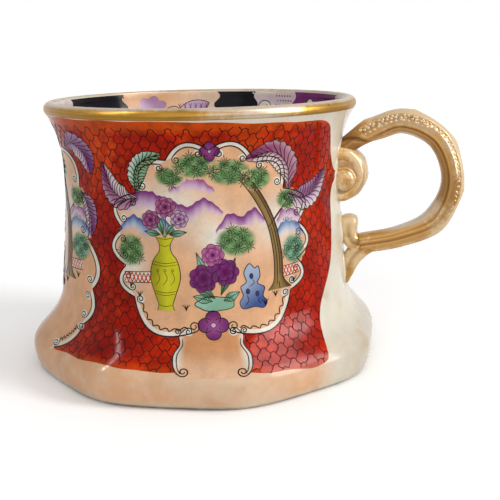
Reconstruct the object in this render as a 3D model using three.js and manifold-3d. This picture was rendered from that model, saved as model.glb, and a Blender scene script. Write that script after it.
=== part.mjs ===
// Cider mug of pressed stoneware: a round body on an eight-sided spreading foot, with an everted gilt lip
// and a moulded loop handle that is luted to the wall with slip.
// Millimetres, +Z up. The origin is the middle of the foot, on the table. The handle points along +X.
import * as THREE from "three";
import { mergeVertices } from "three/addons/utils/BufferGeometryUtils.js";
import Module from "manifold-3d";

// Body: radii are from the axis, and on the eight-sided foot they run to the middle of a flat.
const HEIGHT = 110;
const LIP_RADIUS = 64.4;
const LIP_BEAD = 2.7; // half the thickness of the rolled lip
const LIP_LEAVES_OUTSIDE = THREE.MathUtils.degToRad(-35); // round the bead, from level outwards
const LIP_LEAVES_INSIDE = THREE.MathUtils.degToRad(190);
const WAIST_RADIUS = 57.5;
const WAIST_DROP = 30; // from the rim down to the narrowest place
const STEM_RADIUS = 60.2; // where the wall starts to spread
const STEM_HEIGHT = 34;
const FOOT_RADIUS = 72.6; // at the fullest place of the foot
const FOOT_FULL_HEIGHT = 10;
const SOLE_RADIUS = 68.5; // where the foot leaves the table
const SOLE_WIDTH = 5; // of the wall's own standing edge
const WALL = 4.6;
const FLOOR = 7;

// How hard the curves of the wall's section pull, each as a share of its own rise.
const NECK_PULL = 0.37;
const WAIST_PULL = 0.4;
const STEM_PULL = 0.3;
const FLARE_PULL = 0.52;
const FOOT_PULL = 0.3;
const COVE_PULL = 0.45;
const LIP_PULL_OUTSIDE = 2.6; // in half thicknesses of the lip
const LIP_PULL_INSIDE = 2;

// The eight flats fade into the round wall between these two heights.
const FLATS = 8;
const FLAT_SHARPNESS = 15; // higher is a crisper corner
const FLAT_FULL_HEIGHT = 14;
const FLAT_GONE_HEIGHT = 50;

// Gilding over the lip, which stops short of where the lip's bead runs into the inside of the wall.
const GILT_THICKNESS = 0.4;
const GILT_STOPS_SHORT = THREE.MathUtils.degToRad(25);

// Handle loop: its middle line is an oval, met by a root at the wall above and by a bar below.
const LOOP_OUT = 25.5; // from the waist to the oval's middle
const LOOP_DROP = 34; // from the rim to the oval's middle
const LOOP_HALF_WIDTH = 21;
const LOOP_HALF_HEIGHT = 24;
const ROOT_DROP = 23.4; // from the rim to the root's middle at the wall
const ROOT_THICK = 7.4; // where it is pinched in at the wall
const ROOT_SHARE = 0.14; // of the loop's length, over which the root fills out
const OVAL_STOPS = [121, 90, 45, 0, -45, -90]; // degrees round the oval, from the root to the bar
const BAR_FALL = 3.4; // of the bar's inner end below the oval
const LOOP_THICK = 11.2;
const LOOP_DEPTH = 12.6;
const BAR_THICK = 8.6;
const BAR_DEPTH = 9.6;
const SECTION_POWER = 2.5; // 2 is an ellipse, higher is squarer

// Upper scroll: a rolled volute under the root, dished at both ends, with an eye standing out of each dish.
const SCROLL_DROP = 31.2; // from the rim to the scroll's axis
const SCROLL_OUT = 0.4; // from the wall to the scroll's axis
const SCROLL_RADIUS = 12;
const SCROLL_WIDTH = 17;
const DISH_RADIUS = 8.2;
const DISH_DEPTH = 1.6;
const EYE_DROP = 33.2; // from the rim to the eye's axis
const EYE_OUT = 2.6; // from the wall to the eye's axis
const EYE_RADIUS = 4.6;
const EYE_STANDS_OUT = 2.4;
const EYE_DOME = 0.7; // where the eye's dome turns over, as a share of its radius
const ROLL_EDGE = 0.3; // how round the roll's edge is, as a share of its half width

// Lower scroll: the bar turns up against the wall and ends in a blunt roll.
const CURL_OUT = 2.7; // from the wall to the curl's middle line
const CURL_RISE = 12.2; // from the bar's inner end to the roll's top
const CURL_TURN = 5; // how far the curl's middle line lies in from the bar's end
const CURL_THICK = 7.8;
const CURL_BLUNT = 0.72; // share of the way along where the end starts to round over
const CURL_END = 0.7; // size of the blunt end, as a share of the curl's own

// Tail: a tapering leaf that leaves the bar's underside and runs down the wall.
const TAIL_START = 8; // out from the bar's inner end
const TAIL_FALL = 17.5; // from the bar's inner end to the tail's tip
const TAIL_THICK = 9.6;
const TAIL_DEPTH = 10;
const TAIL_ROOT = 0.45; // its size inside the bar, as a share of its full size
const TAIL_SWELLS = 0.4; // share of the way along where it is full
const TAIL_TIP = 2.4;
const TAIL_TAPER = 1.5; // 1 thins evenly, higher thins more towards the tip
const TAIL_LEAVES = 0.15; // shares of the fall where the tail clears the bar, and where it nears the wall
const TAIL_NEARS = 0.42;
const TAIL_STANDS_OFF = 3.6; // its middle line from the wall where it nears it

// Joints: a bed of slip lies between the wall and each luted member, with a clearance on both sides.
const CLEARANCE = 0.3;
const SLIP_BED = 0.8;
const SLIP_SPREAD = 0.6; // how far the slip shows round a member

// Fineness of the facets.
const ROUND_STEPS = 48;
const CURVE_STEPS = 7;
const BEAD_STEPS = 8;
const SECTION_STEPS = 14;
const LOOP_STEPS = 32;
const MEMBER_STEPS = 10;
const SLIVER = 0.03; // slivers thinner than this, where one form is cut by another, are closed up

const glaze = new THREE.MeshStandardMaterial({ color: 0xe8e0d0, roughness: 0.15, metalness: 0 });
const biscuit = new THREE.MeshStandardMaterial({ color: 0xd9ceb8, roughness: 0.6, metalness: 0 });
const gilt = new THREE.MeshStandardMaterial({ color: 0xb98f2f, roughness: 0.3, metalness: 0.9 });
const lustre = new THREE.MeshStandardMaterial({ color: 0xc59a60, roughness: 0.35, metalness: 0.5 });

const wasm = await Module();
wasm.setup();

function solidOf(geometry) {
  const bare = geometry.clone();
  bare.deleteAttribute("normal");
  bare.deleteAttribute("uv");
  const merged = mergeVertices(bare);
  return new wasm.Manifold(
    new wasm.Mesh({
      numProp: 3,
      vertProperties: merged.attributes.position.array,
      triVerts: new Uint32Array(merged.index.array),
    }),
  );
}

function geometryOf(solid) {
  const mesh = solid.asOriginal().simplify(SLIVER).getMesh();
  const made = new THREE.BufferGeometry();
  made.setAttribute("position", new THREE.BufferAttribute(mesh.vertProperties, 3));
  made.setIndex(new THREE.BufferAttribute(mesh.triVerts, 1));
  return made;
}

// How far out the rounded eight-sided outline lies at an angle, where 1 is the middle of a flat.
function flatsAt(angle) {
  let sum = 0;
  for (let k = 0; k < FLATS; k++) {
    const along = Math.cos(angle - (k * 2 * Math.PI) / FLATS);
    if (along > 0) sum += along ** FLAT_SHARPNESS;
  }
  return sum ** (-1 / FLAT_SHARPNESS);
}

// A profile of (radius, height) points turned about Z, with the foot's flats pressed into it.
function turned(profile) {
  const made = new THREE.LatheGeometry(profile, ROUND_STEPS).rotateX(Math.PI / 2);
  const place = made.attributes.position;
  for (let i = 0; i < place.count; i++) {
    const x = place.getX(i);
    const y = place.getY(i);
    const share = 1 - THREE.MathUtils.smoothstep(place.getZ(i), FLAT_FULL_HEIGHT, FLAT_GONE_HEIGHT);
    const scale = 1 + share * (flatsAt(Math.atan2(y, x)) - 1);
    place.setX(i, x * scale);
    place.setY(i, y * scale);
  }
  return made;
}

// Points round the lip's bead at a radius of its own, from one angle to another.
function beadArc(radius, from, to) {
  const middle = new THREE.Vector2(LIP_RADIUS - LIP_BEAD, HEIGHT - LIP_BEAD);
  const points = [];
  for (let i = 0; i <= BEAD_STEPS; i++) {
    const angle = from + ((to - from) * i) / BEAD_STEPS;
    points.push(new THREE.Vector2(Math.cos(angle), Math.sin(angle)).multiplyScalar(radius).add(middle));
  }
  return points;
}

function bezier(...corners) {
  const [a, b, c, d] = corners.map(([r, z]) => new THREE.Vector2(r, z));
  return new THREE.CubicBezierCurve(a, b, c, d).getPoints(CURVE_STEPS);
}

// The outer line of the wall from the sole up to the lip, each radius moved out by an offset.
const waistHeight = HEIGHT - WAIST_DROP;
const beadRadius = LIP_BEAD - GILT_THICKNESS - CLEARANCE;
const lipBead = beadArc(beadRadius, LIP_LEAVES_OUTSIDE, LIP_LEAVES_INSIDE);

function outerLine(offset = 0) {
  const lip = lipBead[0];
  const neckPull = waistHeight + WAIST_DROP * NECK_PULL;
  const lipSlope = new THREE.Vector2(-Math.sin(LIP_LEAVES_OUTSIDE), Math.cos(LIP_LEAVES_OUTSIDE));
  const lipPull = lip.clone().addScaledVector(lipSlope, -LIP_BEAD * LIP_PULL_OUTSIDE);
  const sole = new THREE.EllipseCurve(
    SOLE_RADIUS,
    FOOT_FULL_HEIGHT,
    FOOT_RADIUS - SOLE_RADIUS,
    FOOT_FULL_HEIGHT,
    -Math.PI / 2,
    0,
  ).getPoints(CURVE_STEPS);
  const spread = STEM_HEIGHT - FOOT_FULL_HEIGHT;
  const flare = bezier(
    [FOOT_RADIUS, FOOT_FULL_HEIGHT],
    [FOOT_RADIUS, FOOT_FULL_HEIGHT + spread * FOOT_PULL],
    [STEM_RADIUS, STEM_HEIGHT - spread * FLARE_PULL],
    [STEM_RADIUS, STEM_HEIGHT],
  );
  const rise = waistHeight - STEM_HEIGHT;
  const stem = bezier(
    [STEM_RADIUS, STEM_HEIGHT],
    [STEM_RADIUS, STEM_HEIGHT + rise * STEM_PULL],
    [WAIST_RADIUS, waistHeight - rise * WAIST_PULL],
    [WAIST_RADIUS, waistHeight],
  );
  const neck = bezier([WAIST_RADIUS, waistHeight], [WAIST_RADIUS, neckPull], lipPull.toArray(), lip.toArray());
  const line = [...sole, ...flare.slice(1), ...stem.slice(1), ...neck.slice(1)];
  return line.map((point) => new THREE.Vector2(point.x + offset, point.y));
}

// The wall's outer radius at a height.
function wallAt(height) {
  const line = outerLine();
  const next = line.findIndex((point) => point.y > height);
  const [low, high] = line.slice(next - 1);
  return THREE.MathUtils.mapLinear(height, low.y, high.y, low.x, high.x);
}

// The inner line from the lip down to the floor, one wall inside the outer line.
const seatRadius = SOLE_RADIUS - SOLE_WIDTH;

function innerLine() {
  const lip = lipBead.at(-1);
  const waist = WAIST_RADIUS - WALL;
  const stem = STEM_RADIUS - WALL;
  const rise = waistHeight - STEM_HEIGHT;
  const spread = STEM_HEIGHT - FLOOR;
  const neck = bezier(
    [lip.x, lip.y],
    [lip.x, lip.y - LIP_BEAD * LIP_PULL_INSIDE],
    [waist, waistHeight + WAIST_DROP * NECK_PULL],
    [waist, waistHeight],
  );
  const side = bezier(
    [waist, waistHeight],
    [waist, waistHeight - rise * WAIST_PULL],
    [stem, STEM_HEIGHT + rise * STEM_PULL],
    [stem, STEM_HEIGHT],
  );
  const cove = bezier(
    [stem, STEM_HEIGHT],
    [stem, STEM_HEIGHT - spread * COVE_PULL],
    [seatRadius, FLOOR + spread * COVE_PULL],
    [seatRadius, FLOOR],
  );
  return [...neck.slice(1), ...side.slice(1), ...cove.slice(1)];
}

function bodyWall() {
  const outer = outerLine();
  const seat = new THREE.Vector2(seatRadius, 0);
  return turned([seat, ...outer, ...lipBead.slice(1), ...innerLine(), seat.clone()]);
}

// The base is a flat bat let into the foot of the wall, level with the sole.
function basePlate() {
  const edge = seatRadius - CLEARANCE;
  return turned([
    new THREE.Vector2(0, 0),
    new THREE.Vector2(edge, 0),
    new THREE.Vector2(edge, FLOOR),
    new THREE.Vector2(0, FLOOR),
  ]);
}

function rimGilding() {
  const end = LIP_LEAVES_INSIDE - GILT_STOPS_SHORT;
  const skin = beadArc(LIP_BEAD, LIP_LEAVES_OUTSIDE, end);
  const back = beadArc(LIP_BEAD - GILT_THICKNESS, LIP_LEAVES_OUTSIDE, end).reverse();
  return turned([...skin, ...back, skin[0].clone()]);
}

// The whole body as one block, grown by an offset, which the luted members are cut back from.
function bodyBlock(offset) {
  const line = outerLine(offset);
  return solidOf(turned([new THREE.Vector2(0, 0), ...line, new THREE.Vector2(0, line.at(-1).y)]));
}

// A closed skin through equal rings of points, with a fan over each end.
function loft(rings) {
  const size = rings[0].length;
  const points = rings.flat();
  const index = [];
  for (let r = 0; r + 1 < rings.length; r++) {
    for (let i = 0; i < size; i++) {
      const a = r * size + i;
      const b = r * size + ((i + 1) % size);
      index.push(a, b, a + size, b, b + size, a + size);
    }
  }
  const first = points.push(centre(rings[0])) - 1;
  const last = points.push(centre(rings.at(-1))) - 1;
  const end = (rings.length - 1) * size;
  for (let i = 0; i < size; i++) {
    const next = (i + 1) % size;
    index.push(first, next, i, last, end + i, end + next);
  }
  return new THREE.BufferGeometry().setFromPoints(points).setIndex(index);
}

function centre(ring) {
  return ring.reduce((sum, p) => sum.add(p), new THREE.Vector3()).divideScalar(ring.length);
}

// A rounded section swept along a line in the handle's plane. halfSizes gives half the thickness in that
// plane and half the depth across it, at a share of the way along.
function swept(line, steps, halfSizes) {
  const rings = [];
  for (let i = 0; i <= steps; i++) {
    const share = i / steps;
    const at = line.getPointAt(share);
    const along = line.getTangentAt(share);
    const across = new THREE.Vector3(along.z, 0, -along.x);
    const [thick, depth] = halfSizes(share);
    const ring = [];
    for (let k = 0; k < SECTION_STEPS; k++) {
      const angle = (k * 2 * Math.PI) / SECTION_STEPS;
      const square = (v) => Math.sign(v) * Math.abs(v) ** (2 / SECTION_POWER);
      const point = at.clone().addScaledVector(across, thick * square(Math.cos(angle)));
      point.y += depth * square(Math.sin(angle));
      ring.push(point);
    }
    rings.push(ring);
  }
  return solidOf(loft(rings));
}

function lineThrough(points) {
  return new THREE.CatmullRomCurve3(
    points.map(([x, z]) => new THREE.Vector3(x, 0, z)),
    false,
    "centripetal",
  );
}

const loopX = WAIST_RADIUS + LOOP_OUT;
const loopZ = HEIGHT - LOOP_DROP;
const rootZ = HEIGHT - ROOT_DROP;
const scrollZ = HEIGHT - SCROLL_DROP;
const eyeZ = HEIGHT - EYE_DROP;
const barEndZ = loopZ - LOOP_HALF_HEIGHT - BAR_FALL;
const curlZ = barEndZ + CURL_RISE / 2;
const curlX = wallAt(curlZ) + CURL_OUT;
const barEndX = curlX + CURL_TURN;

function onOval(degrees) {
  const angle = THREE.MathUtils.degToRad(degrees);
  return [loopX + LOOP_HALF_WIDTH * Math.cos(angle), loopZ + LOOP_HALF_HEIGHT * Math.sin(angle)];
}

// Root at the wall, over the top, round and back along the bar.
function handleLoop(grow = 0) {
  const root = [wallAt(rootZ) - WALL / 2, rootZ]; // in the wall, before it is cut back
  const line = lineThrough([root, ...OVAL_STOPS.map(onOval), [barEndX, barEndZ]]);
  return swept(line, LOOP_STEPS, (share) => {
    const full = THREE.MathUtils.lerp(LOOP_THICK, BAR_THICK, share);
    const filled = THREE.MathUtils.smoothstep(share, 0, ROOT_SHARE);
    const thick = THREE.MathUtils.lerp(ROOT_THICK, full, filled);
    return [thick / 2 + grow, THREE.MathUtils.lerp(LOOP_DEPTH, BAR_DEPTH, share) / 2 + grow];
  });
}

// A form turned about an axis across the handle, alike on both sides. side runs from the axis outwards.
function turnedAcross(side, x, z, grow) {
  const profile = [...side.map(([r, y]) => [r, -y]), ...side.slice().reverse()];
  const points = profile.map(([r, y]) => new THREE.Vector2(r && r + grow, y + Math.sign(y) * grow));
  return solidOf(new THREE.LatheGeometry(points, ROUND_STEPS / 2).translate(x, 0, z));
}

// The volute's roll and its eye, which lies low in the dish, nearer the loop than the roll's own axis.
function upperScroll(grow = 0) {
  const half = SCROLL_WIDTH / 2;
  const eyeEnd = half + EYE_STANDS_OUT;
  const bottom = half - DISH_DEPTH;
  const edge = (SCROLL_RADIUS - DISH_RADIUS) / 2;
  const roll = [
    [0, bottom],
    [DISH_RADIUS, bottom],
    [DISH_RADIUS + edge, half],
    [SCROLL_RADIUS - edge * ROLL_EDGE, half - edge * (1 - ROLL_EDGE)],
    [SCROLL_RADIUS, half / 2],
  ];
  const eye = [
    [0, eyeEnd],
    [EYE_RADIUS * EYE_DOME, eyeEnd - EYE_STANDS_OUT * (1 - EYE_DOME)],
    [EYE_RADIUS, half],
  ];
  const rolled = turnedAcross(roll, wallAt(scrollZ) + SCROLL_OUT, scrollZ, grow);
  return rolled.add(turnedAcross(eye, wallAt(eyeZ) + EYE_OUT, eyeZ, grow));
}

// The bar's end turned up against the wall. It starts a clearance past the end of the loop.
function lowerScroll(grow = 0) {
  const line = lineThrough([
    [barEndX - CLEARANCE + grow, barEndZ],
    [curlX + CURL_TURN / 5, barEndZ + CURL_RISE / 6],
    [curlX, curlZ],
    [curlX, barEndZ + CURL_RISE + grow],
  ]);
  return swept(line, MEMBER_STEPS, (share) => {
    const past = Math.max(0, (share - CURL_BLUNT) / (1 - CURL_BLUNT));
    const round = 1 - (1 - CURL_END) * past ** 3;
    return [(CURL_THICK / 2 + grow) * round, (BAR_DEPTH / 2 + grow) * round];
  });
}

function tailLeaf(grow = 0) {
  const near = barEndZ - TAIL_FALL * TAIL_NEARS;
  const tip = barEndZ - TAIL_FALL;
  const line = lineThrough([
    [barEndX + TAIL_START, barEndZ + BAR_THICK / 8],
    [barEndX, barEndZ - TAIL_FALL * TAIL_LEAVES],
    [wallAt(near) + TAIL_STANDS_OFF, near],
    [wallAt(tip), tip],
  ]);
  return swept(line, MEMBER_STEPS, (share) => {
    const full = THREE.MathUtils.lerp(TAIL_ROOT, 1, THREE.MathUtils.smoothstep(share, 0, TAIL_SWELLS));
    const thick = full * THREE.MathUtils.lerp(TAIL_THICK, TAIL_TIP, share ** TAIL_TAPER);
    const depth = full * THREE.MathUtils.lerp(TAIL_DEPTH, TAIL_TIP, share);
    return [thick / 2 + grow, depth / 2 + grow];
  });
}

// Members stop a slip bed and two clearances short of the wall, and each bed fills its own gap.
const wallSide = bodyBlock(CLEARANCE);
const bedSide = bodyBlock(CLEARANCE + SLIP_BED);
const memberSide = bodyBlock(2 * CLEARANCE + SLIP_BED);

function slipBed(spreadMember) {
  return spreadMember.intersect(bedSide).subtract(wallSide);
}

const loop = handleLoop();
const loopRoom = handleLoop(CLEARANCE);
const loopSpread = handleLoop(SLIP_SPREAD);
const curlRoom = lowerScroll(CLEARANCE);
const rootBedRoom = handleLoop(SLIP_SPREAD + CLEARANCE);
const curlBedRoom = lowerScroll(SLIP_SPREAD + CLEARANCE);

const mug = new THREE.Group();

function add(name, geometry, material) {
  const mesh = new THREE.Mesh(geometry, material);
  mesh.name = name;
  mug.add(mesh);
}

add("body_wall", bodyWall(), glaze);
add("base_plate", basePlate(), glaze);
add("rim_gilding", rimGilding(), gilt);
add("handle_loop", geometryOf(loop.subtract(memberSide)), lustre);
add("upper_scroll", geometryOf(upperScroll().subtract(memberSide).subtract(loopRoom)), lustre);
add("lower_scroll", geometryOf(lowerScroll().subtract(memberSide).subtract(loopRoom)), lustre);
add("tail_leaf", geometryOf(tailLeaf().subtract(memberSide).subtract(loopRoom).subtract(curlRoom)), lustre);
add("slip_bed_root", geometryOf(slipBed(loopSpread)), biscuit);
add("slip_bed_upper_scroll", geometryOf(slipBed(upperScroll(SLIP_SPREAD)).subtract(rootBedRoom)), biscuit);
add("slip_bed_lower_scroll", geometryOf(slipBed(lowerScroll(SLIP_SPREAD))), biscuit);
add("slip_bed_tail", geometryOf(slipBed(tailLeaf(SLIP_SPREAD)).subtract(curlBedRoom)), biscuit);

export default mug;
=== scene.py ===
import math

import bpy
import numpy as np
from mathutils import Matrix, Vector
from mathutils.geometry import delaunay_2d_cdt


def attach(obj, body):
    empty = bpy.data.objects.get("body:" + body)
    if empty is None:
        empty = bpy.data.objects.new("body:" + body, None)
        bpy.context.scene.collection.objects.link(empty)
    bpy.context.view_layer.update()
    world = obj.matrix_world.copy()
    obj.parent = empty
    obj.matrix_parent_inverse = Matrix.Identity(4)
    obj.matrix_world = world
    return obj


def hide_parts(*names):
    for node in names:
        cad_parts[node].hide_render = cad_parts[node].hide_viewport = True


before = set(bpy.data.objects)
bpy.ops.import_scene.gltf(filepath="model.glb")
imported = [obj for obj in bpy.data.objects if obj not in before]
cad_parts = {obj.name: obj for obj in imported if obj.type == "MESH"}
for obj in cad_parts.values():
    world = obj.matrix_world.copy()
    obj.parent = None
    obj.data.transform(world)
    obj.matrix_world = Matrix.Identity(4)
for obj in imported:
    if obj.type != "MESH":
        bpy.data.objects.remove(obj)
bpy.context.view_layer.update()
scene = bpy.context.scene
scene.view_settings.view_transform = "Standard"

# Lengths are in millimetres until a mesh is made, which is in metres.
MM = 0.001
FULL_TURN = 2 * math.pi

# The section of the wall as joined curves, each point a radius and a height: a joint, two handles, a joint.
OUTSIDE_CURVES = [
    (68.2, 0.0), (70.4, 0.0), (72.2, 4.5), (72.2, 10.0), (72.2, 17.2), (60.2, 21.5), (60.2, 34.0),
    (60.2, 47.8), (57.5, 61.6), (57.5, 80.0), (57.5, 91.1), (59.87, 100.07), (63.87, 105.78),
]
INSIDE_CURVES = [
    (59.12, 106.87), (59.12, 101.5), (52.9, 91.1), (52.9, 80.0), (52.9, 61.6), (55.6, 47.8), (55.6, 34.0),
    (55.6, 22.0), (62.6, 18.5), (62.6, 12.5), (62.6, 8.6), (60.5, 7.0), (56.5, 7.0),
]
FLOOR_HEIGHT, FLOOR_RADIUS, STANDING_RADIUS, CENTRE_RADIUS = 7.0, 52.0, 66.5, 6.0
BEAD_CENTRE, BEAD_RADIUS, GILT_RADIUS, GILT_SKIN = (61.68, 107.32), 2.6, 2.68, 0.3
BEAD_START, BEAD_END = math.radians(-35), math.radians(190)
OUTSIDE_POINTS, BEAD_POINTS, INSIDE_POINTS, UNDERSIDE_RINGS, FLOOR_RINGS = 40, 34, 28, 12, 10
MOUTH_POINTS = 13  # points of the bead that the skin inside the mouth starts with

# The foot's rounded flats, which die away up the wall.
FLATS, FLAT_SHARPNESS = 8, 15
FLAT_FULL, FLAT_GONE = 14.0, 50.0
COLUMNS = 288

# Painting is laid out on the unrolled wall: x runs round it at this radius, y up its section.
UNROLL_RADIUS = 58.5
HANDLE_TO_PANEL = 76.3  # degrees from the handle to the middle of a side panel


def srgb(r, g, b):
    c = np.array([r, g, b], float) / 255
    return np.where(c <= 0.04045, c / 12.92, ((c + 0.055) / 1.055) ** 2.4)


GLAZE, GLAZE_COOL, GLAZE_MILKY = srgb(236, 230, 213), srgb(212, 212, 200), srgb(240, 222, 198)
RUST, PIT_BROWN, CELL_INK = srgb(212, 150, 98), srgb(112, 70, 40), srgb(60, 12, 12)
# The last two of these are painted shade on the glaze: a grey on the handle side of the foot and a dark line
# at its standing edge.
FOOT_GREY, HANDLE_SIDE_SHADE, CONTACT_SHADE = srgb(212, 202, 180), srgb(198, 192, 177), srgb(74, 64, 54)
PEACH, PEACH_DEEP = srgb(230, 178, 136), srgb(212, 150, 102)
RED, RED_DEEP, ORANGE = srgb(194, 38, 4), srgb(148, 18, 3), srgb(214, 84, 12)
WHITE, INK, BLACK = srgb(234, 227, 212), srgb(40, 18, 24), srgb(24, 22, 28)
PURPLE, PLUM, PINK, LILAC = srgb(128, 50, 122), srgb(92, 22, 76), srgb(190, 108, 154), srgb(208, 176, 204)
ROSE, PLUM_PINK = srgb(150, 54, 108), srgb(116, 34, 96)
BLUE, PALE_BLUE = srgb(66, 88, 146), srgb(172, 188, 212)
GREEN, PALE_GREEN, MINT = srgb(52, 104, 48), srgb(146, 180, 122), srgb(150, 196, 172)
YELLOW, YELLOW_DEEP = srgb(208, 204, 44), srgb(158, 152, 30)
BROWN, BROWN_DEEP = srgb(150, 122, 74), srgb(88, 64, 38)


def smooth(value, low, high):
    """0 below a low value and 1 above a high one, with a soft step between."""
    t = np.clip((np.asarray(value, float) - low) / (high - low), 0, 1)
    return t * t * (3 - 2 * t)


def fall(value, low, high):
    return 1 - smooth(value, low, high)


def hump(value, middle, reach):
    """1 at a middle value, dying away over a reach to both sides."""
    return np.exp(-(((value - middle) / reach) ** 2))


def mix(a, b, share):
    share = np.asarray(share, float)[..., None]
    return a * (1 - share) + b * share


def read_off(value, rows):
    """Reads a value off rows of given pairs."""
    return np.interp(value, *zip(*rows))


def points_of(*columns):
    return np.stack(columns, -1)


def way_at(angle):
    return points_of(np.cos(angle), np.sin(angle))


def unit(v):
    return v / np.linalg.norm(v, axis=-1, keepdims=True)


# Curves


def bezier(a, b, c, d, count=24):
    t = np.linspace(0, 1, count)[:, None]
    a, b, c, d = (np.array(p, float) for p in (a, b, c, d))
    return (1 - t) ** 3 * a + 3 * (1 - t) ** 2 * t * b + 3 * (1 - t) * t * t * c + t**3 * d


def chain(points, count):
    curves = [bezier(*points[k : k + 4], count)[:-1] for k in range(0, len(points) - 1, 3)]
    return np.vstack(curves + [points[-1:]])


def run_of(line, power=1.0):
    """The way along a line to each of its points, with each step raised to a power."""
    return np.concatenate([[0], np.cumsum(np.linalg.norm(np.diff(line, axis=0), axis=1) ** power)])


def through(points, count=10, closed=False, power=0.0):
    """A smooth line through a few points. A power of a half keeps it close to unevenly spaced ones."""
    p = np.array(points, float)
    ends = (p[-1:], p[:2]) if closed else (2 * p[:1] - p[1:2], 2 * p[-1:] - p[-2:-1])
    p = np.vstack([ends[0], p, ends[1]])
    rows = []
    for quad in zip(p, p[1:], p[2:], p[3:]):
        k = run_of(quad, power)
        t = np.linspace(k[1], k[2], count, endpoint=False)[:, None]
        between = lambda a, b, i, j: ((k[j] - t) * a + (t - k[i]) * b) / (k[j] - k[i])
        a, b, c = (between(quad[n], quad[n + 1], n, n + 1) for n in range(3))
        rows.append(between(between(a, b, 0, 2), between(b, c, 1, 3), 1, 2))
    return np.vstack(rows if closed else rows + [p[-2]])


def even(line, step, closed=False):
    """The same line with its points an even step apart."""
    line = np.asarray(line, float)
    if closed:
        line = np.vstack([line, line[:1]])
    run = run_of(line)
    at = np.linspace(0, run[-1], max(4, int(round(run[-1] / step)) + 1))
    made = points_of(*(np.interp(at, run, column) for column in line.T))
    return made[:-1] if closed else made


def headings(line):
    along = np.gradient(line, axis=0)
    return along / np.maximum(np.linalg.norm(along, axis=1), 1e-9)[:, None]


def left_of(along):
    return points_of(-along[..., 1], along[..., 0])


def round_angles(count):
    return np.linspace(0, FULL_TURN, count, endpoint=False)


def arc(centre, radius, start, end, count):
    return centre + radius * way_at(np.linspace(start, end, count))


def oval(x, y, rx, ry, bumps=0, depth=0.0, count=64):
    """A closed oval whose edge can swell into bumps."""
    a = round_angles(count)
    r = 1 + depth * (np.abs(np.sin(a * bumps / 2)) - 0.5)
    return (x, y) + np.array([rx, ry]) * r[:, None] * way_at(a)


def disc(middle, radius, count=24):
    return oval(*middle, radius, radius, count=count)


SPIRAL_POINTS, SPIRAL_SHRINK = 26, 0.75


def curl(start, heading, radius, turns, side):
    """A spiral that leaves a point along a heading and winds in on one side, and its middle."""
    centre = np.array(start) + left_of(np.array(heading)) * side * radius
    first = math.atan2(start[1] - centre[1], start[0] - centre[0])
    t = np.linspace(0, 1, int(SPIRAL_POINTS * turns))
    r = radius * (1 - SPIRAL_SHRINK * t)
    return centre + r[:, None] * way_at(first + side * t * turns * FULL_TURN), centre


# The wall's skin


def flats_at(angle):
    flats = (np.cos(angle - k * FULL_TURN / FLATS) for k in range(FLATS))
    return sum(np.maximum(flat, 0) ** FLAT_SHARPNESS for flat in flats) ** (-1 / FLAT_SHARPNESS)


def pressed(radius, height, angle):
    """A radius drawn in or out to the foot's flats."""
    return radius * (1 + fall(height, FLAT_FULL, FLAT_GONE) * (flats_at(angle) - 1))


class Skin:
    """A turned surface that paint is laid on, found by an angle and the way along its section."""

    def __init__(self, section):
        self.section, self.run = section, run_of(section)
        self.normal = -left_of(headings(section))

    def at(self, angle, along, lift):
        found = lambda values: np.interp(along, self.run, values)
        r, z = (found(self.section[:, k]) + lift * found(self.normal[:, k]) for k in (0, 1))
        r = pressed(r, z, angle)
        return points_of(r * np.cos(angle), r * np.sin(angle), z)


outside_line = chain(OUTSIDE_CURVES, OUTSIDE_POINTS)
bead_line = arc(BEAD_CENTRE, BEAD_RADIUS, BEAD_START, BEAD_END, BEAD_POINTS)
inside_line = chain(INSIDE_CURVES, INSIDE_POINTS)
wall_skin = Skin(outside_line)
mouth_skin = Skin(np.vstack([bead_line[-MOUTH_POINTS:-1], inside_line]))
WALL_TOP = wall_skin.run[-1]

# Meshes


def new_piece(name, points, faces, paint, material, slot, *nodes):
    """One closed mesh in the frame, with its paint, its finish and the nodes it stands for."""
    mesh = bpy.data.meshes.new(name)
    mesh.from_pydata((np.asarray(points) * MM).tolist(), [], faces)
    obj = bpy.data.objects.new(name, mesh)
    scene.collection.objects.link(obj)
    mesh.shade_smooth()
    return dress(obj, paint, material, slot, *nodes)


def dress(obj, paint, material, slot, *nodes):
    rgba = np.ones((len(obj.data.vertices), 4), np.float32)
    rgba[:, :3] = paint
    obj.data.attributes.new("paint", "FLOAT_COLOR", "POINT").data.foreach_set("color", rgba.ravel())
    obj.data.materials.clear()
    obj.data.materials.append(material)
    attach(obj, "root")
    if nodes:
        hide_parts(*nodes)
    return obj


def quads(rows, size, closed=False):
    """Faces between rows of points that run round."""
    i, j = np.meshgrid(np.arange(rows if closed else rows - 1), np.arange(size), indexing="ij")
    n, k = (i + 1) % rows, (j + 1) % size
    return points_of(i * size + j, i * size + k, n * size + k, n * size + j).reshape(-1, 4).tolist()


def loft(rings):
    """A closed skin through equal rings, with a fan over each end."""
    rings = np.asarray(rings)
    rows, size = rings.shape[:2]
    points = np.vstack([rings.reshape(-1, 3), rings[0].mean(0), rings[-1].mean(0)])
    first, last, base = rows * size, rows * size + 1, (rows - 1) * size
    fans = []
    for j in range(size):
        k = (j + 1) % size
        fans += [(first, k, j), (last, base + j, base + k)]
    return points, quads(rows, size) + fans


def turned(section):
    """Rings of points where a section is turned and pressed into the foot's flats."""
    angle = round_angles(COLUMNS)[None]
    r, z = pressed(section[:, :1], section[:, 1:], angle), np.repeat(section[:, 1:], COLUMNS, axis=1)
    return points_of(r * np.cos(angle), r * np.sin(angle), z)


# Enamel: fills and lines on a skin

FILL_SINK = -0.12  # a fill's underside lies this deep in the glaze
STROKE_SINK, STROKE_CREST = 0.06, 0.03
SHARP = math.radians(50)
GROUND_LAYER, RESERVE_LAYER, FIELD_LAYER, FAR_LAYER = 0.05, 0.08, 0.11, 0.14
MIDDLE_LAYER, NEAR_LAYER, TOP_LAYER, HALF_LAYER = 0.17, 0.20, 0.23, 0.02
OVER_LAYER = TOP_LAYER + HALF_LAYER

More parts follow.
